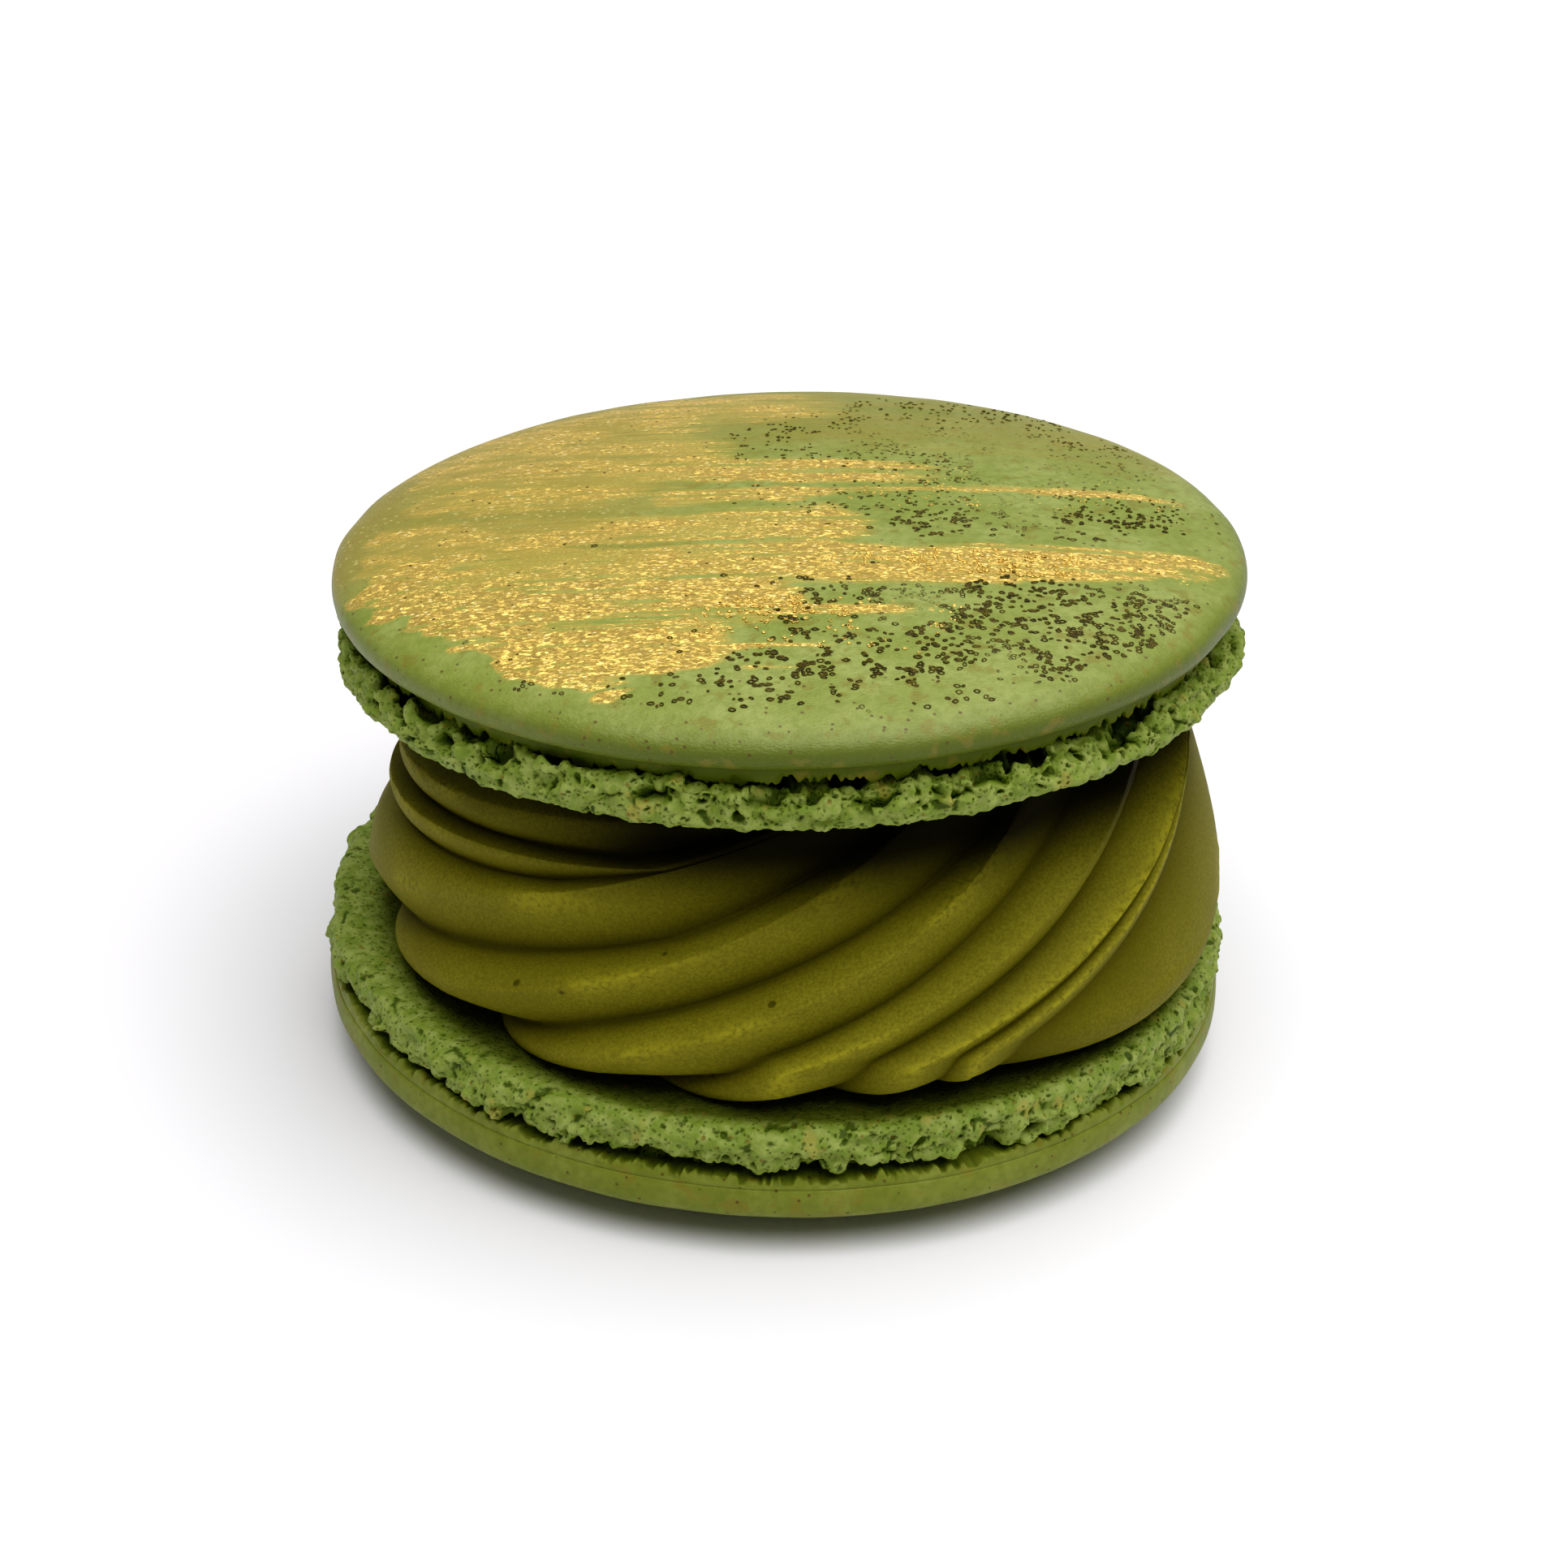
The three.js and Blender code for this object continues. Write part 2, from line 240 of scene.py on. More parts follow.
def stacked_rings(name, grid, low_pole, high_pole, **paints):
    """A closed piece from a grid, rows x columns x 3; rows climb, and columns run round +Z. Each paint is a
    number for every grid point, kept on the mesh as an attribute for the material to read."""
    rows, columns = grid.shape[:2]
    points = np.concatenate([[low_pole], grid.reshape(-1, 3), [high_pole]])
    row, column = np.meshgrid(np.arange(rows - 1), np.arange(columns), indexing="ij")
    following = (column + 1) % columns
    at = lambda r, c: 1 + r * columns + c
    corners = [at(row, column), at(row, following), at(row + 1, following), at(row + 1, column)]
    quads = np.stack(corners, -1).reshape(-1, 4)
    here = np.arange(columns)
    after = (here + 1) % columns
    bottom = np.stack([np.zeros_like(here), at(0, after), at(0, here)], -1)
    top = np.stack([at(rows - 1, here), at(rows - 1, after), np.full_like(here, len(points) - 1)], -1)
    piece = mesh_object(name, points, quads, np.concatenate([bottom, top]))
    for paint, values in paints.items():
        padded = np.concatenate([[values[0].mean()], values.ravel(), [values[-1].mean()]])
        attribute = piece.data.attributes.new(paint, "FLOAT", "POINT")
        attribute.data.foreach_set("value", padded.astype(np.float32))
    print(name, "has", 2 * len(quads) + 2 * columns, "triangles")
    return piece


# %% Helpers for ring grids
def grid_normals(grid):
    """Unit normals of a ring grid: the cross product of the steps round the ring and up the rows."""
    around = np.roll(grid, -1, axis=1) - np.roll(grid, 1, axis=1)
    upward = np.gradient(grid, axis=0)
    normals = np.cross(around, upward)
    return normals / np.maximum(np.linalg.norm(normals, axis=-1, keepdims=True), 1e-9)


def steps(count):
    """Even steps from 0 to 1, without the 0."""
    return np.linspace(0, 1, count + 1)[1:]


def turns(columns):
    """Shares of a full turn for the columns of a ring grid, as one row."""
    return (np.arange(columns) / columns)[None, :]


def turned(radius, height, turn):
    """Points at a radius and height, at a share of the full turn."""
    return np.stack([radius * np.cos(TURN * turn), radius * np.sin(TURN * turn), height], -1)


def lay_upper(points):
    """The upper shell is turned over about X and tilted, with its flat side laid on the swirl."""
    over = np.stack([points[..., 0], -points[..., 1], UPPER["flat"] - points[..., 2]], -1)
    return over @ np.array(UPPER_TILT).T + np.array(UPPER_PLACE)


# How a shell's pieces are laid in place, the solid that they dress, and their slot.
LOWER_TIES = (lambda points: points, "shell_lower", "meringue")
UPPER_TIES = (lay_upper, "shell_upper", "painted_meringue")

# %% [markdown]
# ## The caps
#
# The cap is what everyone notices: thin, smooth and slightly uneven, with a rolled rim. It is a profile
# turned once round the axis. A Screw or Spin modifier could do that, but then every ring would be perfect.
# Here the rings are numbers, so the rim can wander by a tenth of a millimetre.
#
# Under the rim hangs the lip, the torn edge where the cap parted from its foot in the oven. It is a piece of
# its own, because its finest teeth are a fifth of a millimetre wide and need more columns than the cap does.

# %% Caps and lips
CAP_COLUMNS, LIP_COLUMNS = 720, 2400
DOME_ROWS, ROLL_ROWS, EDGE_ROWS, FLOOR_ROWS = 116, 12, 10, 14
TEETH = ((72, 0.10), (190, 0.12), (430, 0.20), (790, 0.16))  # lumps round the ring, and their height
LIP_THICKNESS = 0.3


def rim_wander(turn, seed):
    """How far the rim strays from a true circle, in millimetres."""
    return 0.05 * ring_lumps(turn, 0, 14, seed + 40) + 0.045 * ring_lumps(turn, 0, 47, seed + 41)


def cap_grid(shell):
    """The dome follows r = R cos(t)^(2 / p), z = H (1 - sin(t)^(2 / 2.6)), and a quarter of an ellipse rolls
    under the rim to the crease. The profile is turned round, then shifted: the rim wanders, and low swells
    lie on the dome."""
    rim, crease, seed = shell["rim_radius"], shell["crease"], shell["seed"]
    t = math.pi / 2 * (1 - steps(DOME_ROWS)) ** 1.15
    dome_r = rim * np.cos(t) ** (2 / shell["power"])
    dome_z = np.maximum(shell["dome_height"] * (1 - np.sin(t) ** (2 / SHOULDER)) - shell["pressed"], 0)
    roll = math.pi / 2 * steps(ROLL_ROWS)
    roll_r = rim - shell["roll"] * (1 - np.cos(roll))
    roll_z = shell["rim"] + CREASE_RISE * np.sin(roll)
    r = np.concatenate([dome_r, roll_r, [rim - 1.5, rim - 4]])[:, None]
    z = np.concatenate([dome_z, roll_z, [crease, crease]])[:, None]
    turn = turns(CAP_COLUMNS)
    grid = turned(r + (r / rim) ** 4 * rim_wander(turn, seed), z + 0 * turn, turn)
    swell = 0.05 * smooth_noise(grid, 6.0, seed + 44) + 0.02 * smooth_noise(grid, 2.2, seed + 45)
    grid[..., 2] -= swell * (z < shell["rim"]) * (r > 1) * np.clip(z / 0.4, 0, 1)
    return grid


def lip_grid(shell):
    """From inside the cap out to the crease, up to the torn edge, and in again along the floor of the crack.
    Teeth are four layers of lumps round the ring; they shift the edge up or down and thin it."""
    rim, crease, lip, seed = shell["rim_radius"], shell["crease"], shell["lip"], shell["seed"]
    up = steps(EDGE_ROWS)
    inward = steps(FLOOR_ROWS)
    edge = rim - shell["roll"]
    outside = edge + 0.03 * np.sin(math.pi * up) - 0.06 * up**2
    r = np.concatenate([[3, rim - 3, edge - 0.02], outside, edge - 0.15 - 2.4 * inward])[:, None]
    floor = lip - 0.12 * ease(np.minimum(3 * inward, 1))
    inside = [crease - LIP_THICKNESS, crease - LIP_THICKNESS, crease - 0.08]
    z = np.concatenate([inside, crease + (lip - crease) * up, floor])[:, None]
    teeth = np.concatenate([[0, 0, 0], up**2, (1 - ease(inward)) ** 3])[:, None]
    turn = turns(LIP_COLUMNS)
    torn = sum(height * ring_lumps(turn, 0, around, seed + around) for around, height in TEETH)
    pits = np.clip(ring_lumps(turn, 2 * z, 260, seed + 46) - 0.35, 0, 1)
    radius = r + rim_wander(turn, seed) * (r > 10) - 0.3 * teeth * np.abs(torn) - 0.25 * pits * (teeth > 0.2)
    return turned(radius, z + teeth * torn, turn)


def make_shell_piece(name, grid, low, high, ties, **paints):
    """A closed piece of a shell: its grid and poles are laid in place, it hangs from the root, and the solid
    that it dresses is hidden.
    """
    lay, node, slot = ties
    piece = stacked_rings(name, lay(grid), lay(np.array([0, 0, low])), lay(np.array([0, 0, high])), **paints)
    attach(piece, "root")
    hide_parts(node)
    return piece


# %% [markdown]
# ## The feet
#
# The foot is the frilly band that rises under the cap in the oven. It is foam: crags about 2 mm long, bubbles
# on them, and pits where bubbles burst. The construction has the crags already, as rings of lumps, so the
# surface passes through those same rings on a smooth curve. Then every point moves along its normal: out
# over a whole bubble, and in where one burst. Sculpting this by hand would take hours and could not be rerun.

# %% Sizes of the foam, in millimetres, and rows of its grids
NODULES = ((1.25, 0.62), (0.64, 0.44), (0.35, 0.20))  # spacing, height
BURST = (  # spacing, radius, depth, rarity
    (1.6, 0.55, 0.90, 1.5),
    (0.8, 0.32, 0.50, 1.1),
    (0.42, 0.17, 0.28, 0.8),
)
CAVE_SPACING, CAVE_RADIUS, CAVE_DEPTH = 2.0, 1.2, 1.4
BURIED = 0.3  # how far past the torn edge a foot starts, inside the cap
# How far the painted shadow of the swirl reaches on the flat sides, and how softly it ends.
SWIRL_SHADE_RADIUS, SWIRL_SHADE_FADE = 24.0, 2.0
FOAM_LOWEST, FOAM_HIGHEST, CAVE_LOWEST = -1.3, 0.34, -1.6
FLAT_SIDE_INSETS = (0.9, 2.4, 5.0, 8.0, 15.0)
LOWER_COLUMNS, LOWER_ROWS = 1400, (1, 2, 4, 7, 8, 6, 5, 9, 12, 9, 4, 2)
UPPER_COLUMNS, UPPER_ROWS = 1500, (1, 2, 7, 12, 13, 10, 7, 4, 3, 3, 2, 1)


# %% Profile of a foot
def foot_rings(shell, turn):
    """The rings of the foot, from inside the crack to the middle of the flat side: radius and height of each.
    The crack gapes in some places and nearly closes in others."""
    seed, flat, lip, radius = shell["seed"], shell["flat"], shell["lip"], shell["foot_radius"]
    gape = 0.8 + 0.9 * ring_lumps(turn, 0, 9, seed + 6) + 0.7 * ring_lumps(turn, 0, 31, seed + 7)
    bottom = lip + shell["crack"] * np.clip(gape, 0.05, 1.5)
    level = lambda share: bottom + (flat - bottom) * share
    crags = lambda row: 0.24 * ring_lumps(turn, row, 64, seed + 1)
    bulge = lambda row: crags(row) + 0.2 * ring_lumps(turn, 2 * row, 128, seed + 2)
    sag = 0.2 * ring_lumps(turn, 0, 72, seed + 3)
    frill = 0.17 * ring_lumps(turn, 0, 190, seed + 4) + 0.12 * ring_lumps(turn, 0, 380, seed + 5)
    rings = [
        (6.0, lip - BURIED),
        (radius - CRACK_DEPTH - 0.9, lip - BURIED),
        (radius - CRACK_DEPTH, lip + 0.4),
        (radius - 0.5 + bulge(0), bottom + sag + frill),
        (radius - 0.1 + bulge(1), level(0.3) + 0.5 * (sag + frill)),
        (radius - 0.05 + bulge(2), level(0.64)),
        (radius - 0.25 + 0.6 * bulge(3), level(0.9)),
        *[(radius - inset, flat) for inset in FLAT_SIDE_INSETS],
        (2.0, flat),
    ]
    return np.array([[r + 0 * turn, z + 0 * turn] for r, z in rings])


def smooth_through(knots, counts):
    """A curve through all the knots, with `counts` rows between neighbours: Catmull and Rom's cubic blend."""
    padded = np.concatenate([knots[:1], knots, knots[-1:]])
    rows = []
    for k, count in enumerate(counts):
        before, start, end, after = padded[k : k + 4]
        t = np.linspace(0, 1, count, endpoint=False)[:, None, None]
        bend = 2 * before - 5 * start + 4 * end - after
        twist = 3 * start - before - 3 * end + after
        rows.append(0.5 * (2 * start + (end - before) * t + bend * t**2 + twist * t**3))
    return np.concatenate([*rows, knots[-1:]])


# %% Foam and caves
def foam(grid, on_flat, seed):
    """How far foam stands out from a surface, and how hollow it is there. Nodules of three sizes meet in
    creases: each is 1 - (d / r)^2 round its centre. Burst bubbles of three sizes are cups cut into them.
    The flat side, which lay on the baking mat, keeps only the smaller ones."""
    spot = warped(grid, 0.3, 0.9, seed)
    out = 0.12 * cloud(spot, 1.8, seed + 5, octaves=2)
    for spacing, height in NODULES:
        distance, number = nearest_centre(spot, spacing, seed + int(100 * spacing))
        swell = np.clip(1 - (distance / (0.85 * spacing)) ** 2, 0, 1) - 0.55
        out += height * (0.6 + 0.4 * number) * swell * (1 - 0.8 * on_flat * (spacing > 0.7))
    hollow = soft_step((-out - 0.1) / 0.35)
    for spacing, largest, depth, rarity in BURST:
        distance, number = nearest_centre(spot, spacing, seed + int(1000 * spacing))
        cup_radius = largest * number**rarity + 1e-3
        cup = soft_step(1.7 * (1 - distance / cup_radius)) * cup_radius / largest
        cup = cup * (1 - on_flat * (spacing > 0.9)) * (1 - 0.4 * on_flat)
        out -= depth * cup
        hollow = np.maximum(hollow, cup)
    out += 0.04 * smooth_noise(grid, 0.2, seed + 10)
    return out, hollow


def caves(grid, up_face, seed):
    """Wide hollows where the foam tore from the cap: cups of 1 - d / r, which fade out well before the middle
    of the band."""
    distance, number = nearest_centre(warped(grid, 0.5, 1.1, seed), CAVE_SPACING, seed + 5)
    cup = soft_step(2.2 * (1 - distance / (CAVE_RADIUS * (0.4 + 0.6 * number))))
    return cup * soft_step(1 - up_face / 0.42)


# %% The two feet
def foot_grid(shell, columns, counts):
    """The smooth profile with the foam on it: coarse by the crack, calmer by the flat side, fine on it."""
    turn = turns(columns)
    profile = smooth_through(foot_rings(shell, turn[0]), counts)
    radius, height = profile[:, 0], profile[:, 1]
    grid = turned(radius, height, turn)
    on_flat = soft_step((shell["foot_radius"] - radius - 0.5) / 0.8) * (height > shell["lip"] + 1)
    out, hollow = foam(grid, on_flat, shell["seed"] + 60)
    shown = soft_step((radius - shell["foot_radius"] + 11) / 3)
    up_face = np.clip((height - shell["foot_bottom"]) / (shell["flat"] - shell["foot_bottom"]), 0, 1)
    calm = soft_step((up_face - 0.3) / 0.5)
    strength = shown * (1 - 0.6 * calm) * (1 - 0.3 * on_flat)
    cave = caves(grid, up_face, shell["seed"] + 90) * shown
    out = np.clip(out * strength, FOAM_LOWEST, FOAM_HIGHEST) - CAVE_DEPTH * cave
    grid = grid + grid_normals(grid) * np.maximum(out, CAVE_LOWEST)[..., None]
    grid[..., 2] = np.minimum(grid[..., 2], shell["flat"] + 0.12)
    return grid, np.maximum(hollow * shown, cave), on_flat


def swirl_shade_part(points):
    """A painted shadow from the swirl on a shell's flat side: most under the swirl, none half a millimetre
    outside its widest crests."""
    from_middle = np.hypot(points[..., 0] - SWIRL_MIDDLE[0], points[..., 1] - SWIRL_MIDDLE[1])
    return soft_step((SWIRL_SHADE_RADIUS - from_middle) / SWIRL_SHADE_FADE)


def make_foot(name, shell, columns, counts, ties):
    """A foot of rings, with how hollow each point is and the painted shadow from the swirl there as
    paints.
    """
    grid, hollow, on_flat = foot_grid(shell, columns, counts)
    paints = dict(hollow=hollow, swirl_shade=swirl_shade_part(ties[0](grid)) * on_flat)
    return make_shell_piece(name, grid, shell["lip"] - BURIED, shell["flat"], ties, **paints)


lower_foot = make_foot("lower_foot", LOWER, LOWER_COLUMNS, LOWER_ROWS, LOWER_TIES)
upper_foot = make_foot("upper_foot", UPPER, UPPER_COLUMNS, UPPER_ROWS, UPPER_TIES)

# %% [markdown]
# ## Where the gold was brushed
#
# The gold went on with a flat brush, in strokes from left to right, most of it left of the middle. Each
# stroke is one row of a table: where it starts and ends, how far back it lies, how wide it is, how strong,
# and how much it slants. Strokes add up as layers of paint do, and four bare gaps take paint away. A thin
# haze of gold, the veil, lies between the strokes. Both are kept on the cap as attributes, and the material
# later breaks them up into bristle marks.

# %% Gold strokes: x from, x to, y, half width, in millimetres on the cap; strength, slant
STROKES = (
    (-14.0, 3.5, 18.2, 2.4, 0.52, 0.0),
    (-23.5, -5.0, 12.6, 3.8, 0.74, 0.0),
    (-19.0, -3.0, 8.9, 1.8, 0.66, 0.03),
    (-14.0, 8.5, 6.2, 1.5, 0.62, 0.0),
    (-22.0, -7.0, 5.0, 2.8, 0.60, 0.0),
    (-8.0, 2.5, 2.2, 0.9, 0.70, 0.0),
    (-2.0, 22.0, 2.6, 0.4, 0.42, 0.07),
    (-23.0, 4.5, -2.1, 1.9, 0.80, 0.0),
    (-24.0, 13.0, -6.9, 1.75, 0.95, 0.0),
    (9.0, 19.5, -6.7, 1.55, 0.82, 0.06),
    (17.0, 23.6, -5.7, 1.30, 0.50, 0.12),
    (-23.0, 1.0, -11.2, 2.1, 0.90, 0.0),
    (-3.0, 6.5, -12.4, 0.45, 0.75, 0.03),
    (-18.5, -2.6, -16.2, 1.9, 0.95, 0.02),
    (-15.5, -3.0, -18.6, 1.0, 0.85, 0.08),
    (-14.0, -7.6, -20.2, 0.55, 0.60, 0.10),
    (-3.5, 3.0, -16.7, 0.18, 0.60, 0.0),
    (-2.5, 2.0, -18.7, 0.15, 0.60, 0.0),
    (-9.8, -7.2, -21.2, 0.32, 1.00, 0.30),
)
BARE_GAPS = (
    (-14.0, 1.0, 0.4, 0.75, 0.60, 0.0),
    (-12.5, 5.0, -4.3, 0.30, 0.75, 0.0),
    (-7.5, 3.0, -8.8, 0.25, 0.75, 0.0),
    (-13.0, 1.0, -13.9, 0.60, 0.60, 0.05),
)
STROKE_SPREAD = 1.25  # how much wider a stroke's fading edge makes it
BRUSH_REACH = 22.7


# %% Paint on the cap
def stroke(x, y, start, end, centre, half_width, strength, slant):
    """Strength of one brush stroke: full in the middle, soft at its edges, thinner and fading where it ends.
    Strokes further back start and fade over a longer way."""
    rise = 1.2 + 0.3 * max(centre, 0)
    fade = 3.5 + 0.4 * max(centre, 0)
    taper = soft_step((x - start) / rise) * soft_step((end + 0.3 * fade - x) / fade)
    offset = np.abs(y - centre - slant * (x - start)) / (half_width * (0.6 + 0.4 * taper))
    return strength * taper * (1 - soft_step((offset - 0.4) / 1.0))


def gilding(x, y):
    """Paint left after all strokes: 1 minus the product of what each leaves bare, less the gaps. The brush
    stopped short of the rim in front, along a ragged line."""
    spot = np.stack([0.35 * x, y, 0 * x], -1)
    bare = np.ones_like(x)
    wavy = y + 0.5 * smooth_noise(spot, 2.4, 73) + 0.25 * smooth_noise(spot, 0.7, 74)
    for start, end, centre, half_width, strength, slant in STROKES:
        bare = bare * (1 - stroke(x, wavy, start, end, centre, STROKE_SPREAD * half_width, strength, slant))
    paint = 1 - bare
    for gap in BARE_GAPS:
        paint = paint * (1 - stroke(x, wavy, *gap))
    ragged = 0.9 * smooth_noise(spot, 1.1, 71) + 0.6 * smooth_noise(spot, 0.45, 72)
    reach = BRUSH_REACH + 1.1 * soft_step((y + 15) / 8) + 0.15 * np.maximum(y + 3, 0) + ragged
    return paint * soft_step((reach - np.hypot(x, y)) / 0.8)


def veil(x, y):
    """The thin haze of gold between the strokes: it fades to the right and to the front, and a trace of it
    lies all over the back."""
    left = soft_step((5 - x) / 18) * soft_step((y + 12) / 9)
    back = soft_step((y - 2) / 11)
    return np.maximum(0.8 * left, 0.55 * back)


def gilding_on_cap(grid):
    """The cap is built upside down, so its own y is turned over; the rim's underside gets no paint."""
    facing_up = grid[..., 2] < UPPER["rim"] - 0.3
    x, y = grid[..., 0], -grid[..., 1]
    return {"gilding": gilding(x, y) * facing_up, "veil": veil(x, y) * facing_up}


def painted_shade_on_cap(grid):
    """Painted shade on the upper cap: down the turn of the rim, most in front and on the right, and a little
    all over the back."""
    x, y, z = grid[..., 0], -grid[..., 1], grid[..., 2]
    in_front = 0.55 + 0.45 * soft_step((x + 18) / 14)
    turn_down = soft_step((z - UPPER["rim"] + 1.5) / 1.6)
    return np.maximum(turn_down * in_front, 0.3 * soft_step((y - 4) / 14))


# %% The caps and their lips
def make_cap_and_lip(which, shell, ties):
    """The two smooth pieces of a shell. Only the upper ones carry paints."""
    dome, edge = cap_grid(shell), lip_grid(shell)
    cap_paints, lip_paints = {}, {}
    if which == "upper":
        # The upper cap carries the gilding and a painted shade; the upper lip is painted in shade all over.
        cap_paints = {**gilding_on_cap(dome), "painted_shade": painted_shade_on_cap(dome)}
        lip_paints = {"painted_shade": np.ones(edge.shape[:2])}
    cap = make_shell_piece(which + "_cap", dome, 0, shell["crease"], ties, **cap_paints)
    low, high = shell["crease"] - LIP_THICKNESS, shell["lip"] - 0.12
    return cap, make_shell_piece(which + "_lip", edge, low, high, ties, **lip_paints)


lower_cap, lower_lip = make_cap_and_lip("lower", LOWER, LOWER_TIES)
upper_cap, upper_lip = make_cap_and_lip("upper", UPPER, UPPER_TIES)

# %% [markdown]
# ## The piped swirl
#
# A star nozzle leaves ridges, and turning it while piping winds them round. At any height the swirl's outline
# is a ring of ridges: from each crest down into a sharp groove and up to the next. Going up, the ring turns.
# The ridges aren't alike, so each has its own place and lean, as in the construction. A beaded roughness on
# the crests makes it look pushed through metal teeth.

# %% Swirl sizes, in millimetres and degrees
SWIRL_BELLY_RADIUS, SWIRL_TOP_RADIUS = 23.5, 19.9
SWIRL_BELLY_LEVEL = 0.2
SWIRL_TWIST = math.radians(96)
GROOVE_DEPTH, BASE_PUFF = 2.2, 1.3
FULL_STEP, MERGED_STEP, WIDE_FACE = math.radians(26), math.radians(2), math.radians(20)
RIDGES = np.array([
    # crest, lean, start at the bottom, radius there; groove's share of the step, drift, depth; roundness
    (-141, 20, 12, 21.0, 0.90, 0.95, 1.0, 1.15),
    (-107, -7, 15, 20.9, 0.81, 0.30, 1.0, 1.15),
    (-82, -18, 16, 21.3, 0.76, -0.35, 1.0, 1.15),
    (-61, -11, 25, 20.3, 0.60, -0.35, 1.0, 1.15),
    (-41, 7, 28, 19.6, 0.80, 0.00, 1.0, 1.15),
    (-36, -8, 27, 19.6, 0.14, 0.00, 0.35, 1.15),
    (24, 0, 18, 21.0, 0.65, 0.00, 1.0, 1.3),
    (49, 4, 15, 21.6, 0.65, 0.20, 1.0, 1.3),
    (73, 0, 15, 21.6, 0.70, 0.00, 1.0, 1.3),
    (97, 0, 15, 21.6, 0.65, -0.20, 1.0, 1.3),
    (120, 25, 15, 21.6, 0.70, 0.00, 1.0, 1.5),
    (144, 110, 12, 21.4, 0.88, 0.00, 0.6, 1.9),
    (171, 140, 12, 21.2, 0.57, 2.30, 0.55, 1.9),
])
CREST, LEAN, START, BASE, GROOVE, DRIFT, DEPTH, ROUNDNESS = RIDGES.T
CONTACT_GAP = 0.3
CREST_WIDTH = 0.27  # as a share of the way from a crest to its groove
SWIRL_LEVELS, POINTS_PER_FACE = 128, 25
BEAD_HEIGHT, UNEVENNESS = 0.08, 0.07


# %% Crests of the swirl
def tuck(level):
    """How far a level is tucked in under the belly: 1 at the very bottom, 0 from the belly up."""
    return np.clip(1 - level / SWIRL_BELLY_LEVEL, 0, 1)


def crest_radius(level):
    """Radius of every crest at every level: from its base to the belly with power 2.3, then to the top with
    power 1.3."""
    above = np.clip((level - SWIRL_BELLY_LEVEL) / (1 - SWIRL_BELLY_LEVEL), 0, 1)
    bottom_part = (SWIRL_BELLY_RADIUS - BASE) * tuck(level) ** 2.3
    return SWIRL_BELLY_RADIUS - bottom_part - (SWIRL_BELLY_RADIUS - SWIRL_TOP_RADIUS) * above**1.3


def crest_angles(level):
    """Angle of every crest at every level: its place, plus the climb T (a - 0.31 a^2), where a is the level
    above half height, plus its start in the tuck, plus its lean times (level^2 - 1/4). Crests that would
    cross run together instead."""
    above = level - 0.5
    climb = SWIRL_TWIST * (above - 0.31 * above**2)
    angles = np.radians(CREST + START * tuck(level) ** 1.25 + LEAN * (level**2 - 0.25)) + climb
    steps = MERGED_STEP * np.arange(len(RIDGES))
    angles = np.maximum.accumulate(angles - steps, axis=1) + steps
    closed = np.concatenate([angles, angles[:, :1] + TURN], axis=1)
    steps = MERGED_STEP * np.arange(len(RIDGES) + 1)
    return np.minimum.accumulate((closed - steps)[:, ::-1], axis=1)[:, ::-1] + steps


def swirl_ceiling(x, y):
    """Height of the upper shell's flat side above a point, less the contact gap: a tilted plane."""
    normal = UPPER_TILT @ Vector((0, 0, 1))
    fall = (normal.x * (x - UPPER_PLACE.x) + normal.y * (y - UPPER_PLACE.y)) / normal.z
    return UPPER_PLACE.z - fall - CONTACT_GAP


# %% Surface of the swirl
def swirl_outline(level):
    """Radius, angle and closeness to a groove for every point, levels x points. Below a crest the surface
    goes in by depth t^p to the groove, then out again by depth (1 - t)^q: p is the ridge's roundness, and q
    is the same or, on wide faces, larger. In the tuck, the face also puffs out by sin(pi t)."""
    crests = crest_angles(level)
    tucked = tuck(level)[..., None]
    start, step = crests[:, :-1, None], np.diff(crests, axis=1)[..., None]
    fullness = np.minimum(1, step / FULL_STEP)
    place = np.clip(GROOVE + DRIFT * (level - 0.5), 0.1, 0.93)[..., None]
    groove = start + step * place * (1 - 0.8 * tucked**1.5)
    roundness = ROUNDNESS[None, :, None]
    bulge = np.maximum(roundness, (start + step - groove) / WIDE_FACE)
    pressed = 0.55 + 0.45 * np.sin(math.pi * (0.1 + 0.9 * level))
    depth = GROOVE_DEPTH * (DEPTH * pressed)[..., None] * fullness
    t = np.arange(POINTS_PER_FACE) / POINTS_PER_FACE + 0 * start
    angle = np.concatenate([start + (groove - start) * t, groove + (start + step - groove) * t], axis=2)
    inward = np.concatenate([t**roundness, (1 - t) ** bulge], axis=2)
    puff = BASE_PUFF * tucked * fullness * np.concatenate([0 * t, np.sin(math.pi * t)], axis=2)
    here = crest_radius(level)[..., None]
    following = np.roll(here, -1, axis=1)
    radius = here + (following - here) * (angle - start) / step - depth * inward + puff
    near = np.concatenate([t, 1 - t], axis=2)
    rows = len(level)
    return radius.reshape(rows, -1), angle.reshape(rows, -1), near.reshape(rows, -1)


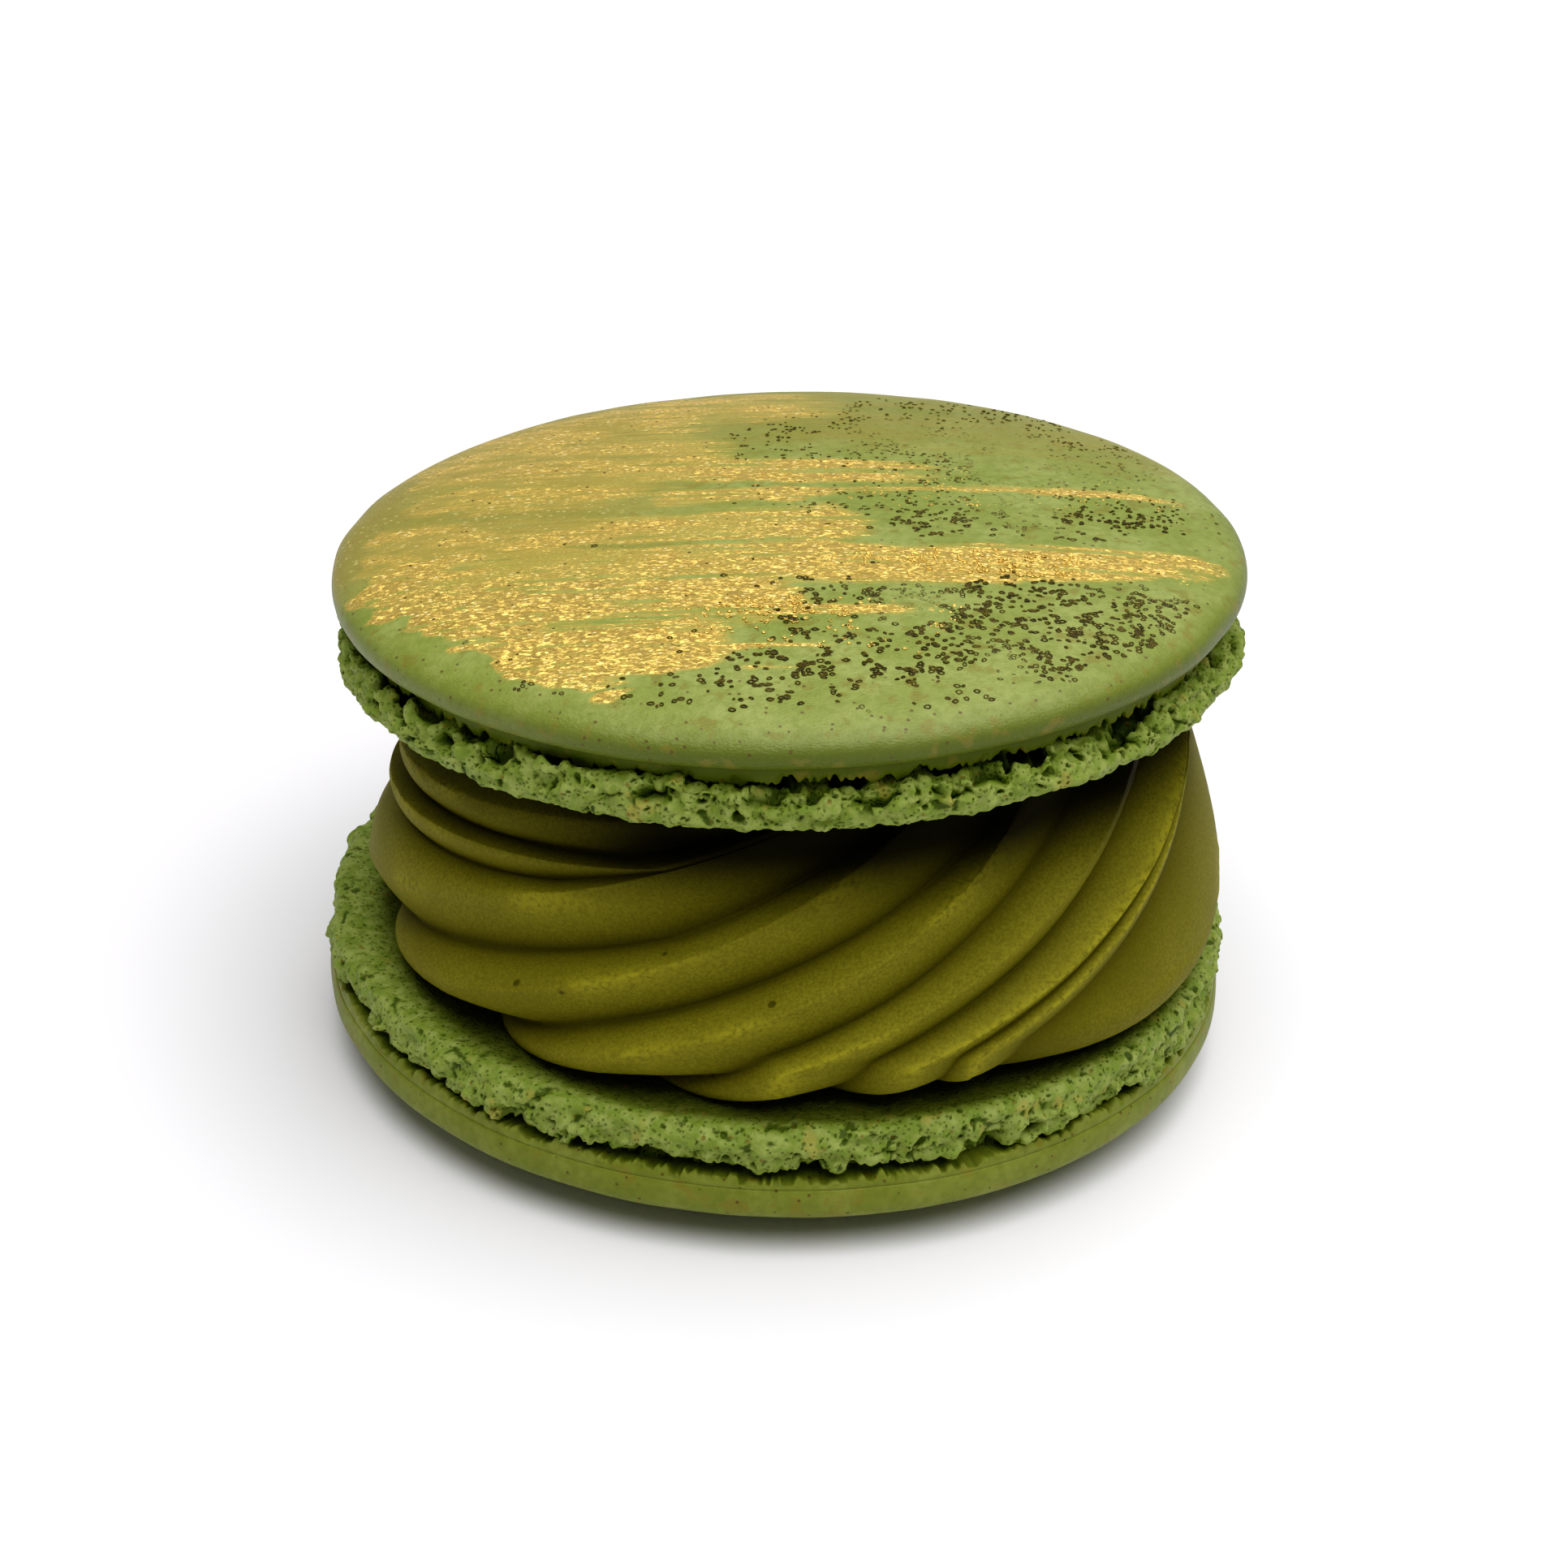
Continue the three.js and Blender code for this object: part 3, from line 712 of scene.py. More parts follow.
def make_swirl():
    """The ridges stacked from floor to ceiling, then roughened along the normals: beads on the crests in
    patches, a broad unevenness and a fine grain. Paints say where the crest highlight, the groove shade and
    the shadow under the upper shell are painted."""
    level = (np.arange(SWIRL_LEVELS + 1) / SWIRL_LEVELS)[:, None]
    radius, angle, near_groove = swirl_outline(level)
    x = SWIRL_MIDDLE[0] + radius * np.cos(angle)
    y = SWIRL_MIDDLE[1] + radius * np.sin(angle)
    floor = LOWER["flat"] + CONTACT_GAP
    grid = np.stack([x, y, floor + level * (swirl_ceiling(x, y) - floor)], -1)
    crest_line = np.exp(-((near_groove / CREST_WIDTH) ** 2))
    beads = cloud(grid, 0.45, 21, octaves=2)
    patchy = soft_step(2.2 * smooth_noise(grid, 4.0, 22))
    out = BEAD_HEIGHT * beads * crest_line * patchy + UNEVENNESS * smooth_noise(grid, 5.0, 23)
    out += 0.010 * smooth_noise(grid, 0.45, 24) + 0.006 * smooth_noise(grid, 0.22, 25)
    grid = grid + grid_normals(grid) * out[..., None]
    grid[..., 2] = np.maximum(grid[..., 2], floor)
    low = np.array([*SWIRL_MIDDLE, floor])
    high = np.array([*SWIRL_MIDDLE, swirl_ceiling(*SWIRL_MIDDLE)])
    # Painted shadow under the upper shell: the top of the swirl is painted nearly black, less so on the left.
    in_front = 0.35 + 0.65 * soft_step((x + 15) / 10)
    shade_under_shell = soft_step((level - 0.60) / 0.28) * in_front
    # The crest paint says where a painted highlight goes, and the groove paint where painted shade goes.
    paints = dict(crest=crest_line * patchy, groove=near_groove**3, shade_under_shell=shade_under_shell)
    swirl = stacked_rings("ganache_swirl", grid, low, high, **paints)
    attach(swirl, "root")
    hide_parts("swirl")
    return swirl


ganache_swirl = make_swirl()

# %% [markdown]
# ## Tea powder
#
# Grains of powder landed on the damp cap and drew up a little ring of colour each, so they look like tiny
# raised rings, alone or in clumps. Thousands of loose objects would be slow, so all rings of one kind are one
# mesh: a small torus with few faces, copied as an array and laid on the dome.

# %% Powder, in millimetres on the cap
RING_AROUND, RING_TUBE = 8, 4
TEA_SIZE, GILDED_SIZE = 0.105, 0.085
MORE_GRAINS, CLUMP_SPREAD = 1.15, 0.27
RING_SIZES, RING_THICKNESSES, RING_SQUASH = (0.55, 1.5), (0.48, 0.74), (0.55, 1.0)
BACK_SHRINK = 0.35
TEA_DRIFTS = (
    # x, y, reach in x, reach in y, number of clumps
    (9.5, -11.8, 12.5, 6.4, 300),
    (15.5, -12.6, 7.5, 6.8, 150),
    (4.5, -17.5, 12.0, 3.6, 100),
    (1.0, -20.6, 9.0, 1.6, 24),
    (10.0, 1.5, 12.5, 4.6, 290),
    (9.0, 12.0, 12.5, 8.5, 420),
    (-6.0, -19.3, 8.0, 1.6, 20),
    (-10.0, -9.0, 12.0, 10.0, 60),
)
GILDED_DRIFTS = ((9.0, 4.0, 12.0, 3.5, 90), (12.0, -6.6, 11.0, 1.4, 90), (2.0, -13.5, 8.0, 3.0, 70))


def upper_cap_point(x, y):
    """A point on the upper cap's outside and its normal there, from its place in plan."""
    radius = np.hypot(x, y)
    rim_radius, dome_height, power = UPPER["rim_radius"], UPPER["dome_height"], UPPER["power"]
    share = np.clip(radius / rim_radius, 1e-4, 0.999)
    left = 1 - share**power
    top = UPPER["flat"] - UPPER["rim"] + dome_height * left ** (1 / SHOULDER)
    slope = dome_height * power / (SHOULDER * rim_radius) * share ** (power - 1) * left ** (1 / SHOULDER - 1)
    outward = slope / np.maximum(radius, 1e-6)
    normal = np.stack([outward * x, outward * y, np.ones_like(x)], -1)
    normal /= np.linalg.norm(normal, axis=-1, keepdims=True)
    tilt = np.array(UPPER_TILT)
    return np.stack([x, y, top], -1) @ tilt.T + np.array(UPPER_PLACE), normal @ tilt.T


def scattered(rng, drifts):
    """Places of grains in plan: each clump is one or more grains close together, and the clumps are spread
    evenly over their drift, an ellipse with soft edges. The rim is left free."""
    places = []
    for x, y, reach_x, reach_y, clumps in drifts:
        turn = TURN * rng.uniform(0, 1, clumps)
        share = np.sqrt(rng.uniform(0, 1, clumps)) * rng.uniform(0.8, 1.15, clumps)
        middles = np.stack([x + reach_x * share * np.cos(turn), y + reach_y * share * np.sin(turn)], -1)
        grains = 1 + rng.poisson(MORE_GRAINS, clumps)
        offsets = rng.normal(0, CLUMP_SPREAD, (grains.sum(), 2))
        places.append(np.repeat(middles, grains, axis=0) + offsets)
    places = np.concatenate(places)
    return places[np.hypot(places[:, 0], places[:, 1]) < 0.95 * UPPER["rim_radius"]]


# %% The powder, as rings
def powder_rings(name, places, rng, size):
    """One low ring for each place: a torus of 8 by 4 points, squashed and turned at random, and half sunk.
    Grains on the back half of the cap are smaller."""
    count = len(places)
    around = TURN * np.arange(RING_AROUND)[None, :, None] / RING_AROUND
    tube = TURN * np.arange(RING_TUBE)[None, None, :] / RING_TUBE
    pick = lambda low, high: rng.uniform(low, high, (count, 1, 1))
    size = size * (1 - BACK_SHRINK * (places[:, 1] > 0))[:, None, None]
    ring = size * pick(*RING_SIZES)
    wobble = 1 + 0.22 * rng.uniform(-1, 1, (count, RING_AROUND, 1))
    thick = size * pick(*RING_THICKNESSES)
    flat_x = (ring * wobble + thick * np.cos(tube)) * np.cos(around)
    flat_y = (ring * wobble + thick * np.cos(tube)) * np.sin(around) * pick(*RING_SQUASH)
    up = thick * 0.55 * np.sin(tube) + 0.0 * around
    spin = pick(0, TURN)
    place, normal = upper_cap_point(places[:, 0], places[:, 1])
    side = np.cross(normal, [0.0, 1.0, 0.0])
    side /= np.linalg.norm(side, axis=-1, keepdims=True)
    front = np.cross(normal, side)
    east = flat_x * np.cos(spin) - flat_y * np.sin(spin)
    north = flat_x * np.sin(spin) + flat_y * np.cos(spin)
    spread = lambda v: v[:, None, None, :]
    points = spread(place) + east[..., None] * spread(side) + north[..., None] * spread(-front)
    points = points + up[..., None] * spread(normal)
    i, j = np.meshgrid(np.arange(RING_AROUND), np.arange(RING_TUBE), indexing="ij")
    k, m = (i + 1) % RING_AROUND, (j + 1) % RING_TUBE
    at = lambda along, across: along * RING_TUBE + across
    one = np.stack([at(i, j), at(k, j), at(k, m), at(i, m)], -1).reshape(-1, 4)
    quads = one[None] + (np.arange(count) * RING_AROUND * RING_TUBE)[:, None, None]
    piece = mesh_object(name, points.reshape(-1, 3), quads.reshape(-1, 4))
    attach(piece, "root")
    print(name, "has", count, "grains and", 2 * quads.shape[0] * quads.shape[1], "triangles")
    return piece


rng = np.random.default_rng(5)
places = scattered(rng, TEA_DRIFTS)
painted = gilding(places[:, 0], places[:, 1])
unpainted = rng.uniform(0, 1, len(places)) > 0.9 * soft_step(painted / 0.5)  # thick gold hides most grains
tea_powder = powder_rings("tea_powder", places[unpainted], rng, TEA_SIZE)
gilded_powder = powder_rings("gilded_powder", scattered(rng, GILDED_DRIFTS), rng, GILDED_SIZE)

# %% [markdown]
# ## Building a finish
#
# A finish is a small network of nodes that ends in a Principled shader. A few helpers keep each network
# short: one adds a node and sets or links its inputs, others make noise, specks and ramps. All patterns use
# Object coordinates in metres, so the helpers turn a size in millimetres into a texture's scale.

# %% Node helpers
SCATTER = (1.0, 0.75, 0.25)  # how far red, green and blue light go, as shares


class Finish:
    """One material, with its nodes added by name."""

    def __init__(self, name):
        """Starts empty, with Object coordinates for the patterns."""
        self.material = bpy.data.materials.new(name)
        self.material.use_nodes = True
        self.tree = self.material.node_tree
        self.tree.nodes.clear()
        self.place = self.add("ShaderNodeTexCoord").outputs["Object"]

    def add(self, kind, inputs=None, **settings):
        """Adds a node; inputs are numbers, or sockets to link from."""
        node = self.tree.nodes.new(kind)
        for key, value in settings.items():
            setattr(node, key, value)
        for key, value in (inputs or {}).items():
            if isinstance(value, bpy.types.NodeSocket):
                self.tree.links.new(value, node.inputs[key])
            else:
                node.inputs[key].default_value = value
        return node

    def pattern(self, kind, size_mm, brushed, **inputs):
        """A texture with features of a size. `brushed` squeezes X, which draws them out along the strokes."""
        place = self.place
        if brushed != 1:
            place = self.add("ShaderNodeMapping", {"Vector": place, "Scale": (brushed, 1, 1)}).outputs[0]
        return self.add(kind, {"Vector": place, "Scale": 1 / (size_mm * MM), **inputs}).outputs

    def noise(self, size_mm, detail, brushed=1, roughness=0.5):
        """Noise from 0 to 1, with `detail` finer layers on it."""
        return self.pattern("ShaderNodeTexNoise", size_mm, brushed, Detail=detail, Roughness=roughness)["Fac"]

    def cells(self, size_mm, brushed=1):
        """Cells round scattered centres: the distance to the centre, and a random colour."""
        return self.pattern("ShaderNodeTexVoronoi", size_mm, brushed)

    def ramp(self, value, low, high, to_low=0.0, to_high=1.0):
        """Maps low..high onto to_low..to_high, smoothly and without going past the ends."""
        inputs = {"Value": value, "From Min": low, "From Max": high, "To Min": to_low, "To Max": to_high}
        return self.add("ShaderNodeMapRange", inputs, interpolation_type="SMOOTHSTEP").outputs["Result"]

    def math(self, operation, a, b):
        """Two numbers through a Math node."""
        return self.add("ShaderNodeMath", {0: a, 1: b}, operation=operation).outputs[0]

    def times(self, a, b):
        """a times b."""
        return self.math("MULTIPLY", a, b)

    def without(self, share):
        """1 minus a share."""
        return self.math("SUBTRACT", 1.0, share)

    def vector_math(self, operation, a, inputs):
        """Vector a, and what else the operation needs, through a Vector Math node."""
        return self.add("ShaderNodeVectorMath", {0: a, **inputs}, operation=operation).outputs[0]

    def specks(self, size_mm, inner, outer, rare, channel=0, brushed=1):
        """Spots at the centres of a few cells, fading from inner to outer, both in cell sizes. A cell whose
        random number lies below the pair `rare` stays bare, and above it the spot is full."""
        cells = self.cells(size_mm, brushed)
        number = self.add("ShaderNodeSeparateColor", {"Color": cells["Color"]}).outputs[channel]
        return self.times(self.ramp(number, *rare), self.ramp(cells["Distance"], outer, inner))

    def mix(self, share, a, b):
        """Blends two colours: share 0 gives a, and 1 gives b."""
        node = self.add("ShaderNodeMix", data_type="RGBA")
        for socket, value in ((node.inputs[0], share), (node.inputs[6], a), (node.inputs[7], b)):
            if isinstance(value, bpy.types.NodeSocket):
                self.tree.links.new(value, socket)
            else:
                socket.default_value = (*value, 1) if isinstance(value, tuple) else value
        return node.outputs[2]

    def over(self, colour, tint, where, strength):
        """Lays a tint over a colour where a pattern says, as strongly as a number or another pattern says."""
        return self.mix(self.times(where, strength), colour, tint)

    def paint(self, name):
        """Reads an attribute that the mesh carries."""
        return self.add("ShaderNodeAttribute", attribute_name=name, attribute_type="GEOMETRY").outputs["Fac"]

    def bump(self, height, distance_mm, strength, normal=None):
        """A normal tilted by a height pattern, on top of another normal if there is one."""
        inputs = {"Height": height, "Distance": distance_mm * MM, "Strength": strength}
        if normal is not None:
            inputs["Normal"] = normal
        return self.add("ShaderNodeBump", inputs).outputs["Normal"]

    def shade(self, scatter=None, scatter_mm=0.9, **inputs):
        """The Principled shader; a name's underscores stand for spaces. `scatter` is how much light goes into
        the piece, and `scatter_mm` how far its red part goes."""
        if scatter is not None:
            inputs.update(Subsurface_Weight=scatter, Subsurface_Radius=SCATTER)
            inputs.update(Subsurface_Scale=scatter_mm * MM)
        named = {key.replace("_", " "): value for key, value in inputs.items()}
        return self.add("ShaderNodeBsdfPrincipled", named).outputs["BSDF"]

    def finish(self, shader, *pieces):
        """Puts the material on its pieces."""
        self.add("ShaderNodeOutputMaterial", {"Surface": shader})
        for piece in pieces:
            piece.data.materials.append(self.material)
        print("finish", self.material.name, "on", [p.name for p in pieces])


# %% [markdown]
# ## Smooth meringue
#
# The skin of a cap is matt to satin. Almond flour leaves faint mottling, tiny brown flecks, and pores. Light
# goes a little way into it, so it has some subsurface scattering. The upper cap has the same skin under its
# gold; its green is paler than the lower one's, and that gap is painted light, set for how differently the
# light falls on the two shells.

# %% Cap skin: its green, a paler one and a deeper one
# The gap between these two greens is painted light.
UPPER_SKIN = ((0.232, 0.280, 0.052), (0.300, 0.345, 0.090), (0.165, 0.205, 0.026))
LOWER_SKIN = ((0.176, 0.211, 0.026), (0.222, 0.252, 0.044), (0.125, 0.152, 0.014))
FLECK_BROWN = (0.100, 0.062, 0.012)
STAIN_BROWN = (0.20, 0.17, 0.022)
# How deep the painted shade makes each green.
SHADE_SHARES = np.array([0.42, 0.46, 0.12])


def skin_colour(f, green, pale, deep):
    """Green with broad and fine mottling, then brown stains, and brown flecks where a few Voronoi cells have
    their centres. A painted shade deepens the green down the upper rim and over the upper cap's back."""
    broad = f.ramp(f.noise(3.2, 3.0), 0.35, 0.7)
    fine = f.ramp(f.noise(0.5, 3.0), 0.35, 0.7)
    colour = f.mix(broad, green, pale)
    colour = f.over(colour, deep, fine, 0.5)
    # Painted shade: a deeper copy of the green, down the upper rim and over the cap's back.
    colour = f.mix(f.paint("painted_shade"), colour, tuple(SHADE_SHARES * green))
    colour = f.over(colour, STAIN_BROWN, f.ramp(f.noise(1.1, 3.0), 0.56, 0.68), 0.6)
    return f.over(colour, FLECK_BROWN, f.specks(0.62, 0.10, 0.20, (0.38, 0.48)), 0.85)


def skin_bump(f):
    """Low swells with fine pores on them."""
    swell = f.bump(f.noise(0.9, 3.0), 0.05, 0.5)
    return f.bump(f.noise(0.14, 2.0), 0.016, 0.7, normal=swell)


def plain_skin(name, colours, *pieces):
    """Skin without gold."""
    f = Finish(name)
    shader = f.shade(Base_Color=skin_colour(f, *colours), Roughness=0.5, Normal=skin_bump(f),
                     scatter=0.25, Specular_IOR_Level=0.2)
    f.finish(shader, *pieces)


plain_skin("lower meringue skin", LOWER_SKIN, lower_cap, lower_lip)
plain_skin("upper meringue skin", UPPER_SKIN, upper_lip)

# %% [markdown]
# ## Gold lustre
#
# Lustre is mica flakes in alcohol: a thin film that the brush combs into lines, with thick spots that
# glitter. The gilding attribute says roughly where it is. Noise stretched along the strokes breaks it into
# bristle marks, and fine noise leaves bare pores. Each tiny Voronoi cell gets a tilt of its own, so single
# flakes flash, and small bright specks of painted glint lie on the film too.

# %% Gilded skin
GOLD = (1.0, 0.72, 0.20)
GOLD_DEEP = (0.76, 0.50, 0.11)
GOLD_HAZE = (0.60, 0.42, 0.08)
GOLD_VEIL = (0.36, 0.28, 0.052)
GOLD_SHADE = (0.22, 0.17, 0.035)
GOLD_PAINTED_GLINT = (1.0, 0.82, 0.36)


def gold_film(f, painted, hazy, combs):
    """How thickly the film covers: the gilding plus streaks, cut by fine gaps and worn in patches where the
    haze lies."""
    streaks = f.math("ADD", f.times(f.noise(0.22, 2.0, 0.05, 0.6), 1.1), f.times(combs, 1.2))
    film = f.ramp(f.math("ADD", f.times(painted, 1.25), streaks), 1.15, 1.8)
    film = f.times(film, f.ramp(painted, 0.02, 0.2))
    film = f.times(film, f.ramp(f.noise(0.5, 2.0, 0.03, 0.6), 0.36, 0.45, 0.25, 1.0))
    worn = f.ramp(f.noise(1.8, 3.0, 0.3, 0.6), 0.4, 0.58, 0.9, 0.0)
    return f.times(film, f.without(f.times(hazy, worn)))


def gold_flakes(f, grain, relief):
    """Bare metal: each flake is a cell whose random colour, less a half, tilts the normal."""
    tilt = f.vector_math("SUBTRACT", f.cells(0.15, 0.5)["Color"], {1: (0.5, 0.5, 0.5)})
    tilt = f.vector_math("SCALE", tilt, {"Scale": 0.9})
    facing = f.vector_math("NORMALIZE", f.vector_math("ADD", relief, {1: tilt}), {})
    colour = f.mix(f.ramp(grain, 0.45, 0.65), GOLD_DEEP, GOLD)
    return f.shade(Base_Color=colour, Metallic=0.75, Roughness=0.4, Normal=facing)


def gilded_skin():
    """Skin under haze, under film, with painted glints and pinholes; flakes of bare metal lie over it where
    the film is thick."""
    f = Finish("gilded meringue skin")
    painted, hazy = f.paint("gilding"), f.paint("veil")
    combs = f.noise(0.9, 3.0, 0.08, 0.6)
    grain = f.noise(0.11, 2.0, 0.5, 0.65)
    relief = f.bump(grain, 0.08, 0.9)
    film = gold_film(f, painted, hazy, combs)
    film_cover = f.times(film, 0.9)
    haze = f.math("ADD", f.times(hazy, 1.1), f.times(combs, 0.9))
    haze = f.times(f.ramp(haze, 0.6, 1.6, 0.0, 0.85), f.ramp(hazy, 0.0, 0.3))
    # Painted shade: the film is darker in the low spots of the grain.
    hollows = f.times(f.ramp(grain, 0.36, 0.5, 0.55, 0.0), f.ramp(film, 0.2, 0.8))
    colour = f.mix(haze, skin_colour(f, *UPPER_SKIN), GOLD_VEIL)
    colour = f.mix(film_cover, colour, f.mix(hollows, GOLD_HAZE, GOLD_SHADE))
    # Painted glints: bright specks in the base colour where the film is thick or the haze lies.
    painted_glint = f.specks(0.26, 0.2, 0.34, (0.62, 0.8), channel=1, brushed=0.6)
    painted_glint_cover = f.math("MAXIMUM", f.ramp(film, 0.3, 0.9), f.ramp(hazy, 0.5, 0.85, 0.0, 0.45))
    colour = f.over(colour, GOLD_PAINTED_GLINT, painted_glint, painted_glint_cover)
    pinhole = f.specks(0.75, 0.10, 0.16, (0.6, 0.65), channel=1)
    colour = f.over(colour, FLECK_BROWN, pinhole, f.ramp(film, 0.2, 0.6))
    metallic = f.times(f.math("MAXIMUM", film_cover, haze), 0.3)
    skin = f.shade(Base_Color=colour, Roughness=0.42, Normal=relief, Metallic=metallic, scatter=0.15,
                   Specular_IOR_Level=0.36)
    leaf = f.ramp(f.math("ADD", f.times(film, 0.36), grain), 0.74, 0.88)
    leaf = f.times(leaf, f.ramp(film, 0.1, 0.5))
    leaf = f.times(leaf, f.ramp(hazy, 0.1, 0.9, 1.0, 0.55))
    leaf = f.times(leaf, f.without(f.math("MAXIMUM", pinhole, painted_glint)))
    shader = f.add("ShaderNodeMixShader", {0: leaf, 1: skin, 2: gold_flakes(f, grain, relief)}).outputs[0]
    f.finish(shader, upper_cap)


gilded_skin()

# %% [markdown]
# ## Crumb of the feet
#
# The torn foam is lighter and yellower on its crests, where sugar dried, and deep green in its hollows, where
# light gets lost. The mesh says how hollow each point is.

# %% Foot crumb
CRUMB_GREEN = (0.178, 0.249, 0.0315)
CRUMB_PALE = (0.290, 0.350, 0.083)
CRUMB_HOLLOW_SHADE = (0.060, 0.095, 0.004)
CRUMB_STRAW = (0.349, 0.299, 0.0581)
CRUMB_SWIRL_SHADOW = (0.075, 0.085, 0.008)
CRUMB_RUST = (0.18, 0.115, 0.014)


def crumb():
    """Green foam with paler patches and straw, then painted shade in the hollows, by the swirl and in the
    pores, and rusty flecks.
    """
    f = Finish("meringue crumb")
    colour = f.mix(f.ramp(f.noise(0.7, 3.0), 0.35, 0.7), CRUMB_GREEN, CRUMB_PALE)
    colour = f.over(colour, CRUMB_STRAW, f.ramp(f.noise(1.5, 2.0), 0.62, 0.72), 0.6)
    # Painted shade in the hollows of the foam.
    colour = f.mix(f.ramp(f.paint("hollow"), 0.05, 0.6), colour, CRUMB_HOLLOW_SHADE)
    # Painted shadow where the swirl meets the flat side.
    colour = f.over(colour, CRUMB_SWIRL_SHADOW, f.paint("swirl_shade"), 0.85)
    # Painted shade in the pores: dark spots at the cell centres, which the bump also sinks.
    walls = f.ramp(f.cells(0.3)["Distance"], 0.16, 0.34)
    colour = f.over(colour, CRUMB_HOLLOW_SHADE, f.without(walls), 0.65)
    colour = f.over(colour, CRUMB_RUST, f.specks(0.8, 0.10, 0.20, (0.55, 0.65)), 0.7)
    rough = f.bump(f.noise(0.25, 3.0), 0.10, 0.9)
    normal = f.bump(walls, 0.06, 0.8, normal=rough)
    shader = f.shade(Base_Color=colour, Roughness=0.6, Normal=normal, scatter=0.12, scatter_mm=0.3,
                     Specular_IOR_Level=0.3)
    f.finish(shader, lower_foot, upper_foot)


crumb()

# %% [markdown]
# ## Ganache
#
# Whipped ganache is satin: fat gives it a low, wide gloss, and fine bubbles give it grain. Its crests carry
# a painted highlight of yellow beads, its grooves painted shade, and the part under the upper shell a painted
# shadow, nearly black.

# %% Ganache finish
CREAM_OLIVE = (0.218, 0.201, 0.022)
CREAM_DEEP = (0.134, 0.121, 0.012)
CREAM_GROOVE_SHADE = (0.070, 0.062, 0.003)
CREAM_CREST_HIGHLIGHT = (0.318, 0.290, 0.026)
CREAM_SHADOW_UNDER_SHELL = (0.012, 0.011, 0.0003)
LEAF_SPECK = (0.03, 0.03, 0.004)


def ganache():
    """Olive cream, mottled, with a painted highlight of yellow beads on the crests, painted shade in the
    grooves and a painted shadow at the top.
    """
    f = Finish("ganache")
    colour = f.mix(f.ramp(f.noise(6.0, 2.0), 0.3, 0.75, 0.0, 0.35), CREAM_OLIVE, CREAM_DEEP)
    mottle = f.ramp(f.noise(0.16, 3.0), 0.3, 0.7, 0.0, 0.8)
    colour = f.mix(mottle, colour, CREAM_DEEP)
    # Painted highlight: yellow beads along the crests.
    beads = f.times(f.paint("crest"), f.ramp(f.noise(0.3, 2.0), 0.3, 0.6))
    colour = f.over(colour, CREAM_CREST_HIGHLIGHT, beads, 0.75)
    # Painted shade in the grooves.
    colour = f.over(colour, CREAM_GROOVE_SHADE, f.paint("groove"), 0.85)
    # Painted shadow under the upper shell, nearly black.
    colour = f.mix(f.paint("shade_under_shell"), colour, CREAM_SHADOW_UNDER_SHELL)
    colour = f.over(colour, LEAF_SPECK, f.specks(2.6, 0.06, 0.11, (0.86, 0.88)), 0.7)
    grain = f.bump(f.noise(0.10, 3.0), 0.03, 0.9)
    shader = f.shade(Base_Color=colour, Roughness=0.6, Normal=grain, scatter=0.1, Specular_IOR_Level=0.05)
    f.finish(shader, ganache_swirl)


ganache()

# %% [markdown]
# ## Powder finishes
#
# The powder is dark olive brown and slightly shiny where it melted. Grains that the brush caught are gilded.

# %% Powder finishes
TEA_DARK, TEA_LIGHT = (0.036, 0.029, 0.004), (0.105, 0.080, 0.011)


def powder(name, ends, dark, light, piece, **shine):
    """Two colours blended by noise, between its two ends, on a grainy surface."""
    f = Finish(name)
    colour = f.mix(f.ramp(f.noise(0.3, 2.0), *ends), dark, light)
    f.finish(f.shade(Base_Color=colour, Normal=f.bump(f.noise(0.06, 2.0), 0.02, 0.8), **shine), piece)


powder("tea powder", (0.35, 0.65), TEA_DARK, TEA_LIGHT, tea_powder, Roughness=0.5, Specular_IOR_Level=0.25)
powder("gilded powder", (0.4, 0.6), GOLD_DEEP, GOLD, gilded_powder, Metallic=0.8, Roughness=0.35)

